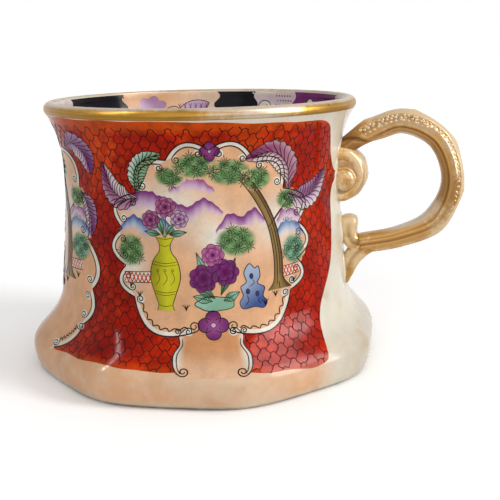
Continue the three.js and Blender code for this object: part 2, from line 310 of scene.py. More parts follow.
# Widths of inked lines, and steps of the nets that fills are made of.
HAIR, FINE, THIN, SLIM, PEN, FULL, FIRM, STRONG, BOLD = 0.26, 0.28, 0.3, 0.34, 0.36, 0.38, 0.4, 0.46, 0.5
FINE_NET, CLOSE_NET, WIDE_NET, ROW_SHARE, EDGE_ROOM = 0.7, 0.8, 1.0, 0.87, 0.4


def inside(points, outline):
    x, y = points[:, 0], points[:, 1]
    hit = np.zeros(len(points), bool)
    for (x0, y0), (x1, y1) in zip(np.roll(outline, 1, axis=0), outline):
        if y1 != y0:
            hit ^= ((y0 > y) != (y1 > y)) & (x < (x1 - x0) * (y - y0) / (y1 - y0) + x0)
    return hit


def net_over(outline, step):
    """Triangles that fill an outline, fine enough to follow a curved wall."""
    edge = even(outline, step, closed=True)
    ahead = np.roll(edge, -1, axis=0)
    if np.sum(edge[:, 0] * ahead[:, 1] - ahead[:, 0] * edge[:, 1]) < 0:
        edge = edge[::-1]
    low, high = edge.min(0), edge.max(0)
    y, x = np.mgrid[low[1] : high[1] : step * ROW_SHARE, low[0] : high[0] : step]
    x[1::2] += step / 2
    grid = points_of(x.ravel(), y.ravel())
    for shift in ((1, 0), (-1, 0), (0, 1), (0, -1)):
        grid = grid[inside(grid + np.array(shift) * EDGE_ROOM * step, edge)]
    spots = [Vector(p) for p in np.vstack([edge, grid])]
    made = delaunay_2d_cdt(spots, [], [list(range(len(edge)))], 1, 1e-6, False)
    flat, faces = np.array([p[:] for p in made[0]]), np.array([f[:3] for f in made[2]], int).reshape(-1, 3)
    return flat, faces[inside(flat[faces].mean(1), edge)]


class Enamel:
    """Paint gathered into one mesh."""

    def __init__(self):
        self.points, self.faces, self.colours, self.count = [], [], [], 0

    def add(self, points, faces, colours):
        self.points.append(points)
        self.faces.extend((np.asarray(faces) + self.count).tolist())
        self.colours.append(np.broadcast_to(colours, (len(points), 3)))
        self.count += len(points)

    def make(self, name, material):
        obj = new_piece(name, np.vstack(self.points), self.faces, np.vstack(self.colours), material, "glaze")
        obj.data.set_sharp_from_angle(angle=SHARP)


class Brush:
    """Lays fills and lines on one skin round a middle angle, in a panel's own x and y."""

    def __init__(self, skin, middle, flip=1, stretch=1.0):
        self.skin, self.middle, self.flip, self.stretch = skin, math.radians(middle), flip, stretch
        self.paint, self.ink = Enamel(), Enamel()

    def angle(self, x):
        return self.middle + self.flip * np.asarray(x) * self.stretch / UNROLL_RADIUS

    def place(self, points, lift):
        return self.skin.at(self.angle(points[:, 0]), points[:, 1], lift)

    def fill(self, outline, layer, shade, step=WIDE_NET):
        """A closed film of colour over an outline."""
        flat, faces = net_over(np.asarray(outline, float), step)
        outward = faces if self.flip > 0 else faces[:, ::-1]
        count = len(flat)
        edges = outward[:, [0, 1, 1, 2, 2, 0]].reshape(-1, 2).tolist()
        known = {(a, b) for a, b in edges}
        rim = [(a, b) for a, b in edges if (b, a) not in known]
        shell = outward.tolist() + (outward[:, ::-1] + count).tolist()
        shell += [t for a, b in rim for t in ((b, a, a + count), (b, a + count, b + count))]
        colour = shade(flat) if callable(shade) else np.broadcast_to(shade, (count, 3))
        points = np.vstack([self.place(flat, layer), self.place(flat, FILL_SINK)])
        self.paint.add(points, shell, np.vstack([colour, colour]))

    def line(self, points, width=PEN, layer=TOP_LAYER, colour=INK, taper=0.5, step=0.7, loop=False):
        """A raised stroke with a crest, thinner towards both ends."""
        flat = even(np.vstack([points, points[:1]]) if loop else points, step)
        across = left_of(headings(flat)) / np.array([self.stretch, 1.0]) * self.flip
        share = np.linspace(0.02, 0.98, len(flat))
        half = (width / 2 * (taper + (1 - taper) * np.sin(math.pi * share) ** 0.5))[:, None]
        edge, crest = layer - STROKE_SINK, layer + STROKE_CREST
        rows = [(flat + across * half, edge), (flat, crest), (flat - across * half, edge)]
        made, faces = loft(np.stack([self.place(p, lift) for p, lift in rows], 1))
        halves = [((f[0], f[1], f[2]), (f[0], f[2], f[-1]))[: len(f) - 2] for f in faces]
        self.ink.add(made, [triangle for pair in halves for triangle in pair], colour)

    def curve(self, points, *style, **more):
        self.line(through(points), *style, **more)

    def shape(self, outline, layer, shade, step, *style, **more):
        """A fill with a line round it."""
        self.fill(outline, layer, shade, step)
        self.line(outline, *style, loop=True, **more)


def fade(first, last, start, end):
    """A wash from one colour to another between two places."""
    start, way = np.array(start, float), np.array(end, float) - np.array(start, float)
    return lambda p: mix(first, last, smooth((p - start) @ way / (way @ way), 0, 1))


# Painted motifs


def lobes_from(points):
    return [points[k : k + 3] for k in range(0, len(points) - 1, 2)]


# One side of a reserve's lobed edge, from the bottom up. Every other point is the end of a lobe, and those
# between are the lobes' fullest places.
LOBES = lobes_from([
    (6.5, 32.6), (23.0, 32.0), (30.6, 45.0), (37.6, 50.0), (34.6, 56.6), (41.6, 63.0), (36.4, 70.4),
    (40.4, 79.0), (29.5, 84.0), (28.0, 94.5), (16.5, 96.4), (9.0, 103.0), (0.0, 100.0),
])
FAR_LOBES = lobes_from([
    (30.0, 16.6), (35.4, 21.8), (37.0, 30.0), (40.8, 37.0), (40.0, 45.0), (43.0, 54.0), (37.4, 64.5),
    (37.8, 75.0), (33.0, 84.0), (30.0, 95.5), (17.0, 97.5), (9.0, 104.0), (0.0, 101.0),
])
FAR_FOOT = np.array([(-26.4, 14.2), (27.8, 14.2)])  # the far panel is open at the foot
LEFT_SHARE = 0.95  # the panel's left side is a little narrower than its right
PANEL_MIDDLE = np.array([0.0, 66.0])
FRAME_WIDTH, TEETH, TEETH_SHARE = 1.7, 7, 1.3 / 33
CURL_SIZE, CURL_TURNS, CURL_WIDTH, CURL_BACKING, CURL_ROOM = 1.5, 1.4, 0.44, 1.1, 5
DRAW_STEP = 0.5

# Clear white places in the peach field: middle x and y, reach in x and y.
CLEARINGS = [(-16, 79, 15, 9), (27, 72, 11, 9), (3, 67, 8, 7), (-31, 57, 6, 8)]


def sky(p):
    """The field's colour: a peach wash that leaves clear white places."""
    clear = sum(hump(p[:, 0], x, rx) * hump(p[:, 1], y, ry) for x, y, rx, ry in CLEARINGS)
    return mix(PEACH, WHITE, np.clip(clear, 0, 1))


def lobe_line(lobe, side):
    a, b, c = np.array(lobe) * (side, 1)
    pull = 2 * b - (a + c) / 2
    return even(bezier(a, a + (pull - a) * 2 / 3, c + (pull - c) * 2 / 3, c), DRAW_STEP)


def inset(line, distance):
    """A line moved towards the middle of the panel, short of both ends so that curls fit there."""
    step = left_of(headings(line))
    step = step * np.sign(np.sum(step * (PANEL_MIDDLE - line), axis=1))[:, None]
    return (line + step * distance)[CURL_ROOM:-CURL_ROOM]


def closed_edge(lobes, distance=0.0):
    """A panel's whole edge, or a line inside it, from its right side upwards and its left side down."""
    lines = [lobe_line(lobe, 1) for lobe in lobes]
    right = np.vstack([inset(line, distance) if distance else line[:-1] for line in lines])
    foot = FAR_FOOT if lobes is FAR_LOBES else FAR_FOOT[:0]
    return np.vstack([right, (right * (-LEFT_SHARE, 1))[::-1], foot])


FOOT_MIDDLE = np.array([-1.0, 0.0])
FOOT_SIDE = through([
    (9.0, 33.6), (11.2, 31.0), (10.8, 27.6), (12.6, 23.6), (12.4, 19.6), (11.4, 17.0), (10.2, 15.8),
])
FOOT_LOW = FOOT_SIDE[-1] - (0, 0.8)
FOOT_EDGE = np.vstack([FOOT_LOW, FOOT_SIDE[::-1], FOOT_SIDE * (-1, 1), FOOT_LOW * (-1, 1)]) + FOOT_MIDDLE


def curled_end(brush, line, place, size=CURL_SIZE, backed=True):
    """A curl at the end of a scroll, wound towards a place, on white where it is backed."""
    heading = unit(line[-1] - line[-2])
    side = math.copysign(1, left_of(heading) @ (place - line[-1]))
    spiral, middle = curl(line[-1], heading, size, CURL_TURNS, side)
    if backed:
        brush.fill(disc(middle, size * CURL_BACKING), FIELD_LAYER + HALF_LAYER, WHITE, FINE_NET)
    brush.line(spiral, CURL_WIDTH, taper=0.7, step=0.45)


def scroll_frame(brush, lobes):
    """White C-scrolls round the reserve, each with a curl at both ends."""
    for side in (1, -LEFT_SHARE):
        for lobe in lobes:
            line = lobe_line(lobe, side)
            brush.line(line, BOLD, taper=1.0)
            inner = inset(line, FRAME_WIDTH)
            if lobe is lobes[0]:
                teeth = np.abs(np.sin(np.linspace(0, TEETH * math.pi, len(inner))))[:, None]
                inner = inner + (PANEL_MIDDLE - inner) * teeth * TEETH_SHARE
            brush.line(inner, STRONG, taper=1.0)
            curled_end(brush, inner, PANEL_MIDDLE)
            if lobe is LOBES[0]:
                curled_end(brush, line[::-1], PANEL_MIDDLE, 2.0, backed=False)
            else:
                curled_end(brush, inner[::-1], PANEL_MIDDLE)


BARBS, BARB_REACH, BARB_BEND = 12, 1.5, 0.16


def plume(brush, spine, width, dark, pale, deep_side):
    """A feathered leaf along a bent spine, deep in colour on one side, pale on the other, with fine barbs."""
    line = even(through(spine, 20), DRAW_STEP)
    along = headings(line)
    across = left_of(along)
    share = np.linspace(0, 1, len(line))
    full = width * np.sin(math.pi * share**0.75) ** 0.7 * (0.4 + 0.6 * smooth(share, 0, 0.3)) + 0.15
    half = (full * (0.8 + 0.2 * np.abs(np.sin(share * BARBS * math.pi))))[:, None]
    sides = [line + across * half * s for s in (deep_side, -deep_side)]

    def wash(p):
        nearest = np.argmin(np.sum((p[:, None] - line[None]) ** 2, axis=2), axis=1)
        out = np.sum((p - line[nearest]) * across[nearest], axis=1) * deep_side / width
        tone = mix(mix(dark, pale, 0.3), dark, smooth(share[nearest], 0.2, 0.9))
        tone = mix(tone, mix(dark, pale, 0.55), smooth(out, 0.35, 0.9))
        return mix(mix(tone, pale, smooth(-out, 0.02, 0.3)), WHITE, 0.6 * smooth(-out, 0.3, 0.8))

    brush.fill(np.vstack([sides[0], sides[1][::-1]])[:: -deep_side], MIDDLE_LAYER, wash, FINE_NET)
    for k in range(BARBS + 1):
        i = int(len(line) * (k + 0.4) / (BARBS + 2))
        j = min(len(line) - 1, i + int(width * BARB_REACH))
        for side in sides:
            end = line[j] + (side[j] - line[j]) * 0.97
            bend = (line[i] + end) / 2 + along[i] * width * BARB_BEND
            brush.line(through([line[i], bend, end], 6), FULL)
    for stroke in (line, *sides):
        brush.line(stroke, PEN, OVER_LAYER)


def ridge(brush, points, depth, dark, pale):
    """A far hill: dark along an uneven crest, washed out to the field below."""
    top = even(through(points, 12), 0.7)
    top[:, 1] += 0.55 * np.abs(np.sin(top[:, 0] * 0.8)) + 0.25 * np.sin(top[:, 0] * 2.3)
    drop = depth * np.sin(math.pi * np.linspace(0.02, 0.98, len(top))) ** 0.6
    low = top - points_of(0 * drop, drop)

    def wash(p):
        below = (np.interp(p[:, 0], *top.T) - p[:, 1]) / np.interp(p[:, 0], top[:, 0], drop)
        return mix(mix(dark, pale, smooth(below, 0, 0.7)), sky(p), smooth(below, 0.5, 1))

    brush.fill(np.vstack([low, top[::-1]]), FAR_LAYER, wash, CLOSE_NET)


GOLDEN_TURN, NEEDLES, NEEDLE_LENGTHS = 2.399963, 10, (2.0, 2.7)
BURST_ROOM = 19.0  # square millimetres of foliage to each burst of needles


def clump(brush, x, y, rx, ry, pale=PALE_GREEN):
    """Soft foliage that fades at its edge, with bursts of needles."""

    def wash(p):
        out = np.hypot((p[:, 0] - x) / rx, (p[:, 1] - y) / ry)
        mottled = 0.5 + 0.5 * np.sin(p[:, 0] * 1.1 + x) * np.sin(p[:, 1] * 1.4 + y)
        return mix(mix(GREEN, pale, 0.1 + 0.7 * mottled), sky(p), smooth(out, 0.7, 1.05))

    brush.fill(oval(x, y, rx, ry, 9, 0.16), MIDDLE_LAYER, wash, CLOSE_NET)
    bursts = int(math.pi * rx * ry / BURST_ROOM)
    for k in range(bursts):
        spot = (x, y) + way_at(k * GOLDEN_TURN) * (rx, ry) * math.sqrt((k + 0.5) / bursts) * 0.8
        for blade in range(NEEDLES):
            way = way_at(FULL_TURN * blade / NEEDLES + 0.3 * math.sin(3 * k))
            tip = spot + way * NEEDLE_LENGTHS[blade % 2]
            needle = [spot + way * 0.4, (spot + tip) / 2, tip]
            brush.line(needle, THIN, TOP_LAYER, mix(INK, GREEN, 0.2), 0.4)


def leaf(brush, base, tip, width):
    side = left_of(unit(tip - base)) * width
    middle = base + (tip - base) * 0.45
    edge = np.vstack([through([base, middle - side, tip])[:-1], through([tip, middle + side, base])[:-1]])
    brush.shape(edge, MIDDLE_LAYER, fade(GREEN, MINT, base, tip), FINE_NET, HAIR)
    brush.line([base, middle, tip], HAIR)


# Each round of a peony: petals, how far out they lie, and their radius.
PEONY_ROUNDS = ((7, 0.62, 0.44), (5, 0.28, 0.36))
PETAL_SWEEP, PEONY_HEART = 1.7, 0.16


def peony(brush, place, size, dark, pale):
    """Two rounds of petals about a heart."""
    for ring, (count, reach, radius) in enumerate(PEONY_ROUNDS):
        lift = HALF_LAYER * ring
        for k in range(count):
            a = FULL_TURN * (k + ring / 2) / count
            way = way_at(a) * size
            middle = place + way * reach
            wash = fade(dark, pale, middle - way * 0.3, middle + way * radius)
            brush.fill(disc(middle, size * radius), NEAR_LAYER + lift, wash, FINE_NET)
            edge = arc(middle, size * radius, a - PETAL_SWEEP, a + PETAL_SWEEP, 14)
            brush.line(edge, FINE, TOP_LAYER + lift)
    brush.fill(disc(place, size * PEONY_HEART, 16), OVER_LAYER, PLUM, step=0.4)


FOUR_RADIUS, FOUR_SWEEP, FOUR_HEART = 0.95, 2.35, 0.34


def flower_of_four(brush, place, reach):
    """Four round petals about a pale heart."""
    bright, deep, radius = mix(PURPLE, PINK, 0.35), mix(PURPLE, PLUM, 0.5), reach * FOUR_RADIUS
    for a in np.arange(4) * math.pi / 2:
        middle, tip = (np.array(place) + way_at(a) * reach * share for share in (1, 2))
        brush.fill(disc(middle, radius, 36), NEAR_LAYER, fade(bright, deep, place, tip), FINE_NET)
        brush.line(arc(middle, radius, a - FOUR_SWEEP, a + FOUR_SWEEP, 24), taper=1.0)
    brush.shape(disc(place, reach * FOUR_HEART), TOP_LAYER, LILAC, 0.5, THIN, OVER_LAYER, taper=1.0)


# Lines of bark: their share of the way across the trunk, and the first and last point of each.
BARK_LINES = ((0, 0, 60), (1, 0, 60), (0.35, 6, 30), (0.65, 12, 46), (0.5, 0, 9))
PINE_CLUMPS = (
    (7.5, 91.6, 8.6, 5.2), (-5, 94.2, 9.0, 4.8), (17.8, 88.6, 6.6, 4.6), (-14.5, 90.4, 6.0, 3.8),
    (31.4, 79.8, 5.4, 4.0),
)


def pine(brush):
    """A leaning trunk with a bough and clumps of needles."""
    left = through([(21.0, 46.0), (23.6, 50.0), (24.0, 60.0), (22.0, 71.0), (17.0, 81.0), (11.0, 89.0)])
    right = through([(31.0, 46.4), (27.8, 50.6), (27.6, 60.0), (25.4, 71.6), (20.2, 82.4), (13.4, 90.6)])

    def bark(p):
        start, end = (np.interp(p[:, 1], side[:, 1], side[:, 0]) for side in (left, right))
        return mix(BROWN, BROWN_DEEP, np.clip(np.abs(2 * (p[:, 0] - start) / (end - start) - 0.8), 0, 1) ** 2)

    brush.fill(np.vstack([right, left[::-1]]), MIDDLE_LAYER, bark, FINE_NET)
    for share, low, high in BARK_LINES:
        brush.line((left * (1 - share) + right * share)[low:high])
    brush.curve([(22.6, 70.0), (29.0, 77.0), (31.5, 79.5)], 0.8, NEAR_LAYER, BROWN_DEEP)
    for place_and_size in PINE_CLUMPS:
        clump(brush, *place_and_size)


VASE_SIDE = [
    (3.2, 0), (2.6, 2.2), (3.8, 6.0), (5.6, 12.5), (4.6, 18.5), (2.3, 22.0), (2.1, 25.0), (3.5, 27.4),
]
# Bands round the vase: height and half width.
VASE_BANDS = ((2.2, 2.6), (6.4, 3.9), (7.4, 4.2), (17.4, 4.8), (18.4, 4.6), (24.8, 2.1), (27.4, 3.5))


def flower_vase(brush, at):
    right, left = (through(VASE_SIDE) * (side, 1) + at for side in (1, -1))
    wash = fade(YELLOW_DEEP, YELLOW, at + (-5, 0), at + (1.5, 0))
    brush.fill(np.vstack([right, left[::-1]]), NEAR_LAYER, wash, CLOSE_NET)
    for side in (right, left):
        brush.line(side, FULL)
    for y, half in VASE_BANDS:
        brush.curve(at + [(-half, y), (0, y - 0.7), (half, y)], THIN)
    for shift in (-2.8, 0, 2.8):
        sprig = through(at + [(shift - 0.9, 9.5), (shift + 0.7, 12.0), (shift - 0.6, 15.4)])
        brush.line(sprig, THIN)
        brush.line(curl(sprig[-1], (0.6, 0.8), 0.7, 1.2, -1)[0], HAIR)
    for x, y in ((-5.4, 33.5), (0.6, 38.5), (5.6, 34.0)):
        brush.curve(at + [(0, 27), (x * 0.4, 30.5), (x, y)], FIRM, NEAR_LAYER, GREEN)
    for x, y in ((-8.0, 29.5), (8.4, 29.4), (-2.6, 35.5), (3.4, 32.5)):
        leaf(brush, at + (x * 0.2, 28.4), at + (x, y), 1.2)
    peony(brush, at + (-5.4, 33.8), 3.4, PLUM, PINK)
    peony(brush, at + (5.6, 34.2), 3.2, PURPLE, LILAC)
    peony(brush, at + (0.4, 38.6), 3.7, PLUM, PINK)


ROCK_EDGE = [
    (-4.4, 0), (-5.6, 2.6), (-4.2, 5.0), (-5.0, 8.2), (-2.8, 10.0), (-3.6, 13.6), (-1.4, 16.8), (0.6, 14.8),
    (2.0, 15.6), (2.6, 11.8), (1.4, 9.2), (4.2, 7.4), (3.4, 4.2), (5.0, 1.8), (3.4, -0.4), (0.0, 0.4),
]
ROCK_FOLDS = [
    [(-3.6, 1.2), (-2.2, 3.0), (-2.8, 5.0)], [(2.6, 1.4), (1.4, 2.6), (2.2, 3.8)],
    [(-1.6, 8.2), (0.2, 9.4), (-0.4, 10.8)],
]


def garden_rock(brush, at):
    """A weathered upright rock with holes and folds."""
    rock = through(ROCK_EDGE, 6, closed=True) + at
    brush.shape(rock, MIDDLE_LAYER, fade(PALE_BLUE, BLUE, at + (-5, 12), at + (3, 2)), CLOSE_NET)
    for hole in ((-0.8, 12.0), (1.2, 5.2), (-2.4, 6.4)):
        brush.shape(oval(*(at + hole), 0.7, 1.1, count=20), NEAR_LAYER, mix(BLUE, INK, 0.5), 0.6, 0.24)
    for fold in ROCK_FOLDS:
        brush.curve(at + fold, FINE)


# Each leaf's base and tip.
BUSH_LEAVES = (
    ((-1, 1), (-8, 3)), ((0, 2), (-8, 8)), ((2, 3), (8, 17)), ((-1, 5), (-6.5, 19.5)), ((3, 1), (9, 4)),
)


def peony_bush(brush, at):
    for base, tip in BUSH_LEAVES:
        leaf(brush, at + base, at + tip, 1.7)
    wash = fade(MINT, mix(MINT, GREEN, 0.3), at + (-4, 2), at + (2, -2))
    brush.shape(oval(*at, 7.0, 2.7, 5, 0.12), MIDDLE_LAYER, wash, CLOSE_NET, SLIM)
    peony(brush, at + (-4, 9.6), 5.0, PLUM, PURPLE)
    peony(brush, at + (4, 11.6), 4.8, PLUM, PURPLE)
    peony(brush, at + (-0.4, 18.2), 4.0, PURPLE, PINK)


def lattice_rail(brush, left, right, low, high, bays):
    edge = np.array([(left, low), (right, low + 0.7), (right, high + 0.7), (left, high)])
    brush.fill(edge, MIDDLE_LAYER, WHITE)
    for rail in (edge[:2], edge[2:]):
        brush.line(rail, SLIM)
    posts = np.linspace(left, right, bays + 1)
    for x0, x1 in zip(posts, posts[1:]):
        for bar in (((x0, low + 0.3), (x1, high + 0.2)), ((x0, high), (x1, low + 0.5))):
            brush.line(bar, STRONG, TOP_LAYER, mix(RED, ORANGE, 0.4), 0.8)


# Far hills: points along the crest, the depth of the wash and its two colours.
HILLS = [
    ([(-34, 78), (-29, 83.4), (-23, 84.6), (-17, 82), (-12, 79)], 8, PURPLE, LILAC),
    ([(-15, 85), (-9, 90), (-3, 89), (2, 85)], 6, mix(PURPLE, PINK, 0.4), LILAC),
    ([(-22, 76), (-15, 81), (-8, 79), (-2, 82), (5, 77)], 7, PURPLE, LILAC),
    ([(-36, 70), (-30, 75.5), (-24, 73), (-18, 75), (-13, 70)], 6.5, BLUE, PALE_BLUE),
    ([(2, 70), (7, 76), (12, 74.6), (17, 77.5), (21, 73)], 8, PURPLE, LILAC),
    ([(26, 72), (30, 77), (34, 76), (38, 72)], 6, mix(PURPLE, PINK, 0.4), LILAC),
    ([(25, 67), (30, 72.5), (35, 71), (39, 66)], 6.5, BLUE, PALE_BLUE),
]
# Shrubs: middle x and y, reach in x and y, and a paler green where it isn't the usual one.
SHRUBS = ((-30.6, 62.5, 5.8, 6.4), (9.5, 66.0, 8.0, 6.0), (33.4, 60.5, 5.6, 6.0, MINT))
# Rails: left, right, low and high, and the number of bays.
RAILS = ((-33.4, -22.0, 50.2, 54.2, 7), (27.6, 35.0, 50.6, 54.4, 5))
VASE_PLACE, BUSH_PLACE, ROCK_PLACE = np.array([(-17.0, 40.5), (1.0, 43.0), (15.4, 40.4)])
GRASS_PLACES = ((-27, 45), (-9.5, 40.5), (19.6, 40.8), (24, 43.4), (32.4, 47.6), (-30.5, 48.6))
BLADE_LEANS = (-1.5, -0.6, 0.5, 1.4)


def garden(brush):
    """A garden of hills, a pine, a flower vase, peonies and a rock."""
    for hill in HILLS:
        ridge(brush, *hill)
    for shrub in SHRUBS:
        clump(brush, *shrub)
    for rail in RAILS:
        lattice_rail(brush, *rail)
    pine(brush)
    flower_vase(brush, VASE_PLACE)
    peony_bush(brush, BUSH_PLACE)
    garden_rock(brush, ROCK_PLACE)
    for x, y in GRASS_PLACES:
        for lean in BLADE_LEANS:
            brush.line([(x, y), (x + lean * 0.3, y + 1.2), (x + lean, y + 2.4)], FINE, taper=0.3)


def foot_reserve(brush):
    """The small reserve under a panel, open at the foot."""
    wash = fade(PEACH_DEEP, mix(PEACH, GLAZE, 0.15), (0, 28), (0, 16))
    margin = lambda p: smooth(np.abs(p[:, 0] - FOOT_MIDDLE[0]), 8.5, 11.5) * smooth(p[:, 1], 16, 20)
    brush.fill(FOOT_EDGE, RESERVE_LAYER, lambda p: mix(wash(p), WHITE, margin(p)))
    for side in (1, -1):
        line = FOOT_SIDE * (side, 1) + FOOT_MIDDLE
        brush.line(line, FIRM, taper=1.0)
        brush.line((FOOT_SIDE * (side * 0.9, 1) + FOOT_MIDDLE)[14:-6], SLIM)
        curled_end(brush, line, (0, 16), 1.8, backed=False)
        curled_end(brush, line[::-1], (0, 30))
        curled_end(brush, line[20:6:-1], (20 * side, 32), 1.2, backed=False)


def panel(brush, lobes, plumes):
    """A framed garden, with a small reserve under it unless the panel itself runs down to the foot."""
    brush.reserves = [closed_edge(lobes)]
    brush.fill(brush.reserves[0], RESERVE_LAYER, WHITE)
    brush.fill(closed_edge(lobes, FRAME_WIDTH), FIELD_LAYER, sky)
    if lobes is LOBES:
        brush.reserves.append(FOOT_EDGE)
        foot_reserve(brush)
        flower_of_four(brush, (0.0, 35.0), 2.8)
    garden(brush)
    for spine_and_style in plumes:
        plume(brush, *spine_and_style)
    scroll_frame(brush, lobes)
    flower_of_four(brush, (0.4, 99.6), 1.9)
    return brush


LEAF_GREEN = mix(PALE_GREEN, GREEN, 0.35)
# Each plume's spine, half width, two colours and deep side: 1 for the left of its spine, -1 for the right.
SIDE_PLUMES = [
    ([(31.5, 82.0), (38.0, 79.4), (46.0, 81.4), (54.5, 88.6)], 5.0, PLUM_PINK, LILAC, 1),
    ([(32.0, 83.5), (31.5, 92.0), (24.5, 98.2), (13.5, 96.0)], 5.2, ROSE, mix(PINK, WHITE, 0.65), -1),
    ([(-27.5, 82.0), (-34.0, 81.6), (-39.5, 85.4), (-42.8, 94.6)], 4.8, ROSE, mix(LILAC, WHITE, 0.3), 1),
    ([(-27.5, 84.0), (-27.6, 91.0), (-24.0, 96.5), (-17.0, 98.6)], 3.8, LEAF_GREEN, MINT, -1),
]
UPPER_SPINE, LOWER_SPINE = np.array([
    [(27.0, 99.0), (33.0, 101.0), (38.0, 97.0), (39.6, 89.6)],
    [(33.6, 82.0), (37.0, 79.0), (39.0, 72.5), (39.2, 65.6)],
])
WIDE_PLUMES = [
    (spine * (s, 1), width, PURPLE, LILAC, s)
    for spine, width in ((UPPER_SPINE, 5.0), (LOWER_SPINE, 3.0))
    for s in (1, -1)
]

panels = {
    "front": panel(Brush(wall_skin, -HANDLE_TO_PANEL), LOBES, SIDE_PLUMES),
    "back": panel(Brush(wall_skin, HANDLE_TO_PANEL, flip=-1), LOBES, SIDE_PLUMES),
    "far": panel(Brush(wall_skin, 180, stretch=1.4), FAR_LOBES, WIDE_PLUMES),
}

# Materials

VECTOR, FLOAT, COLOUR = "NodeSocketVector", "NodeSocketFloat", "NodeSocketColor"


def add_inputs(tree, inputs):
    for label, kind, value in inputs:
        socket = tree.interface.new_socket(label, in_out="INPUT", socket_type=kind)
        if value is not None:
            socket.default_value = value


def node_group(name, inputs, outputs):
    tree = bpy.data.node_groups.new(name, "ShaderNodeTree")
    add_inputs(tree, inputs)
    for label, kind in outputs:
        tree.interface.new_socket(label, in_out="OUTPUT", socket_type=kind)
    return tree, tree.nodes.new("NodeGroupInput").outputs, tree.nodes.new("NodeGroupOutput").inputs


def feed(tree, socket, value):
    """Links an output to a socket, or sets a plain number or colour on it."""
    if isinstance(value, bpy.types.NodeSocket):
        tree.links.new(value, socket)
    elif isinstance(value, np.ndarray):
        socket.default_value = (*value, 1)
    else:
        socket.default_value = value


def feed_all(tree, node, values):
    for label, value in values.items():
        feed(tree, node.inputs[label], value)


def noise(tree, vector, scale, detail, rough):
    made = tree.nodes.new("ShaderNodeTexNoise")
    feed_all(tree, made, {"Vector": vector, "Scale": scale, "Detail": detail, "Roughness": rough})
    return made.outputs["Fac"]


def maths(tree, operation, a, b, clamp=False):
    made = tree.nodes.new("ShaderNodeMath")
    made.operation, made.use_clamp = operation, clamp
    feed_all(tree, made, {0: a, 1: b})
    return made.outputs[0]


def weighed(tree, a, b, share):
    """Two values added by their shares of one."""
    return maths(tree, "ADD", maths(tree, "MULTIPLY", a, 1 - share), maths(tree, "MULTIPLY", b, share))


def ranged(tree, value, low, high, to_low=0.0, to_high=1.0):
    made = tree.nodes.new("ShaderNodeMapRange")
    made.interpolation_type = "SMOOTHSTEP"
    feed_all(tree, made, {"Value": value, "From Min": low, "From Max": high})
    feed_all(tree, made, {"To Min": to_low, "To Max": to_high})
    return made.outputs["Result"]


def blend(tree, share, a, b, mode="MIX"):
    made = tree.nodes.new("ShaderNodeMix")
    made.data_type, made.blend_type = "RGBA", mode
    feed_all(tree, made, {0: share, 6: a, 7: b})
    return made.outputs[2]


def use_group(tree, group, **values):
    made = tree.nodes.new("ShaderNodeGroup")
    made.node_tree = group
    feed_all(tree, made, values)
    return made.outputs


def wear_group():
    """Patches where a thin finish has gone, with a fine grain."""
    tree, given, result = node_group(
        "worn_patches",
        [("Vector", VECTOR, None), ("Scale", FLOAT, 60.0), ("Bias", FLOAT, 0.5), ("Softness", FLOAT, 0.08)],
        [("Mask", FLOAT), ("Grain", FLOAT)],
    )
    broad = noise(tree, given["Vector"], given["Scale"], 6.0, 0.62)
    fine = noise(tree, given["Vector"], maths(tree, "MULTIPLY", given["Scale"], 7.0), 3.0, 0.6)
    low, high = (maths(tree, step, given["Bias"], given["Softness"]) for step in ("SUBTRACT", "ADD"))
    feed(tree, result["Mask"], ranged(tree, weighed(tree, broad, fine, 0.2), low, high))
    feed(tree, result["Grain"], fine)
    return tree


PIT_SCALE, PIT_SIZE = 420.0, 0.07


def ripple_group():
    """The slow waves and fine pinholes of a fired glaze, as a height."""
    tree, given, result = node_group(
        "glaze_ripple",
        [("Vector", VECTOR, None), ("Waves", FLOAT, 90.0), ("Pinholes", FLOAT, 0.2)],
        [("Height", FLOAT)],
    )
    slow = noise(tree, given["Vector"], given["Waves"], 2.0, 0.5)
    cells = tree.nodes.new("ShaderNodeTexVoronoi")
    feed_all(tree, cells, {"Scale": PIT_SCALE, "Vector": given["Vector"]})
    pits = maths(tree, "LESS_THAN", cells.outputs["Distance"], PIT_SIZE)
    pits = maths(tree, "MULTIPLY", pits, given["Pinholes"])
    feed(tree, result["Height"], maths(tree, "SUBTRACT", slow, pits))
    return tree


def streak_group():
    """Enamel that lies thinner and thicker in streaks, as a share of its own tone."""
    tree, given, result = node_group(
        "enamel_streaks",
        [("Vector", VECTOR, None), ("Scale", FLOAT, 120.0), ("Depth", FLOAT, 0.2)],
        [("Tone", FLOAT)],
    )
    broad = noise(tree, given["Vector"], given["Scale"], 5.0, 0.6)
    fine = noise(tree, given["Vector"], maths(tree, "MULTIPLY", given["Scale"], 9.0), 3.0, 0.6)
    thin = maths(tree, "SUBTRACT", 1.0, given["Depth"])
    thick = maths(tree, "ADD", 1.0, maths(tree, "MULTIPLY", given["Depth"], 0.8))
    feed(tree, result["Tone"], ranged(tree, weighed(tree, broad, fine, 0.25), 0.3, 0.7, thin, thick))
    return tree


WORN, RIPPLE, STREAKS = wear_group(), ripple_group(), streak_group()
DULL_GOLD, BRIGHT_GOLD = np.full(3, 0.8), np.array([1.15, 1.12, 1.05])
# The second share is how far painted shade in hollows goes towards the dark colour.
RUB_PULL, HOLLOW_SHADE_SHARE, GRAIN_SHARE, GRAIN_MIDDLE = 0.3, 0.9, 0.25, 0.1


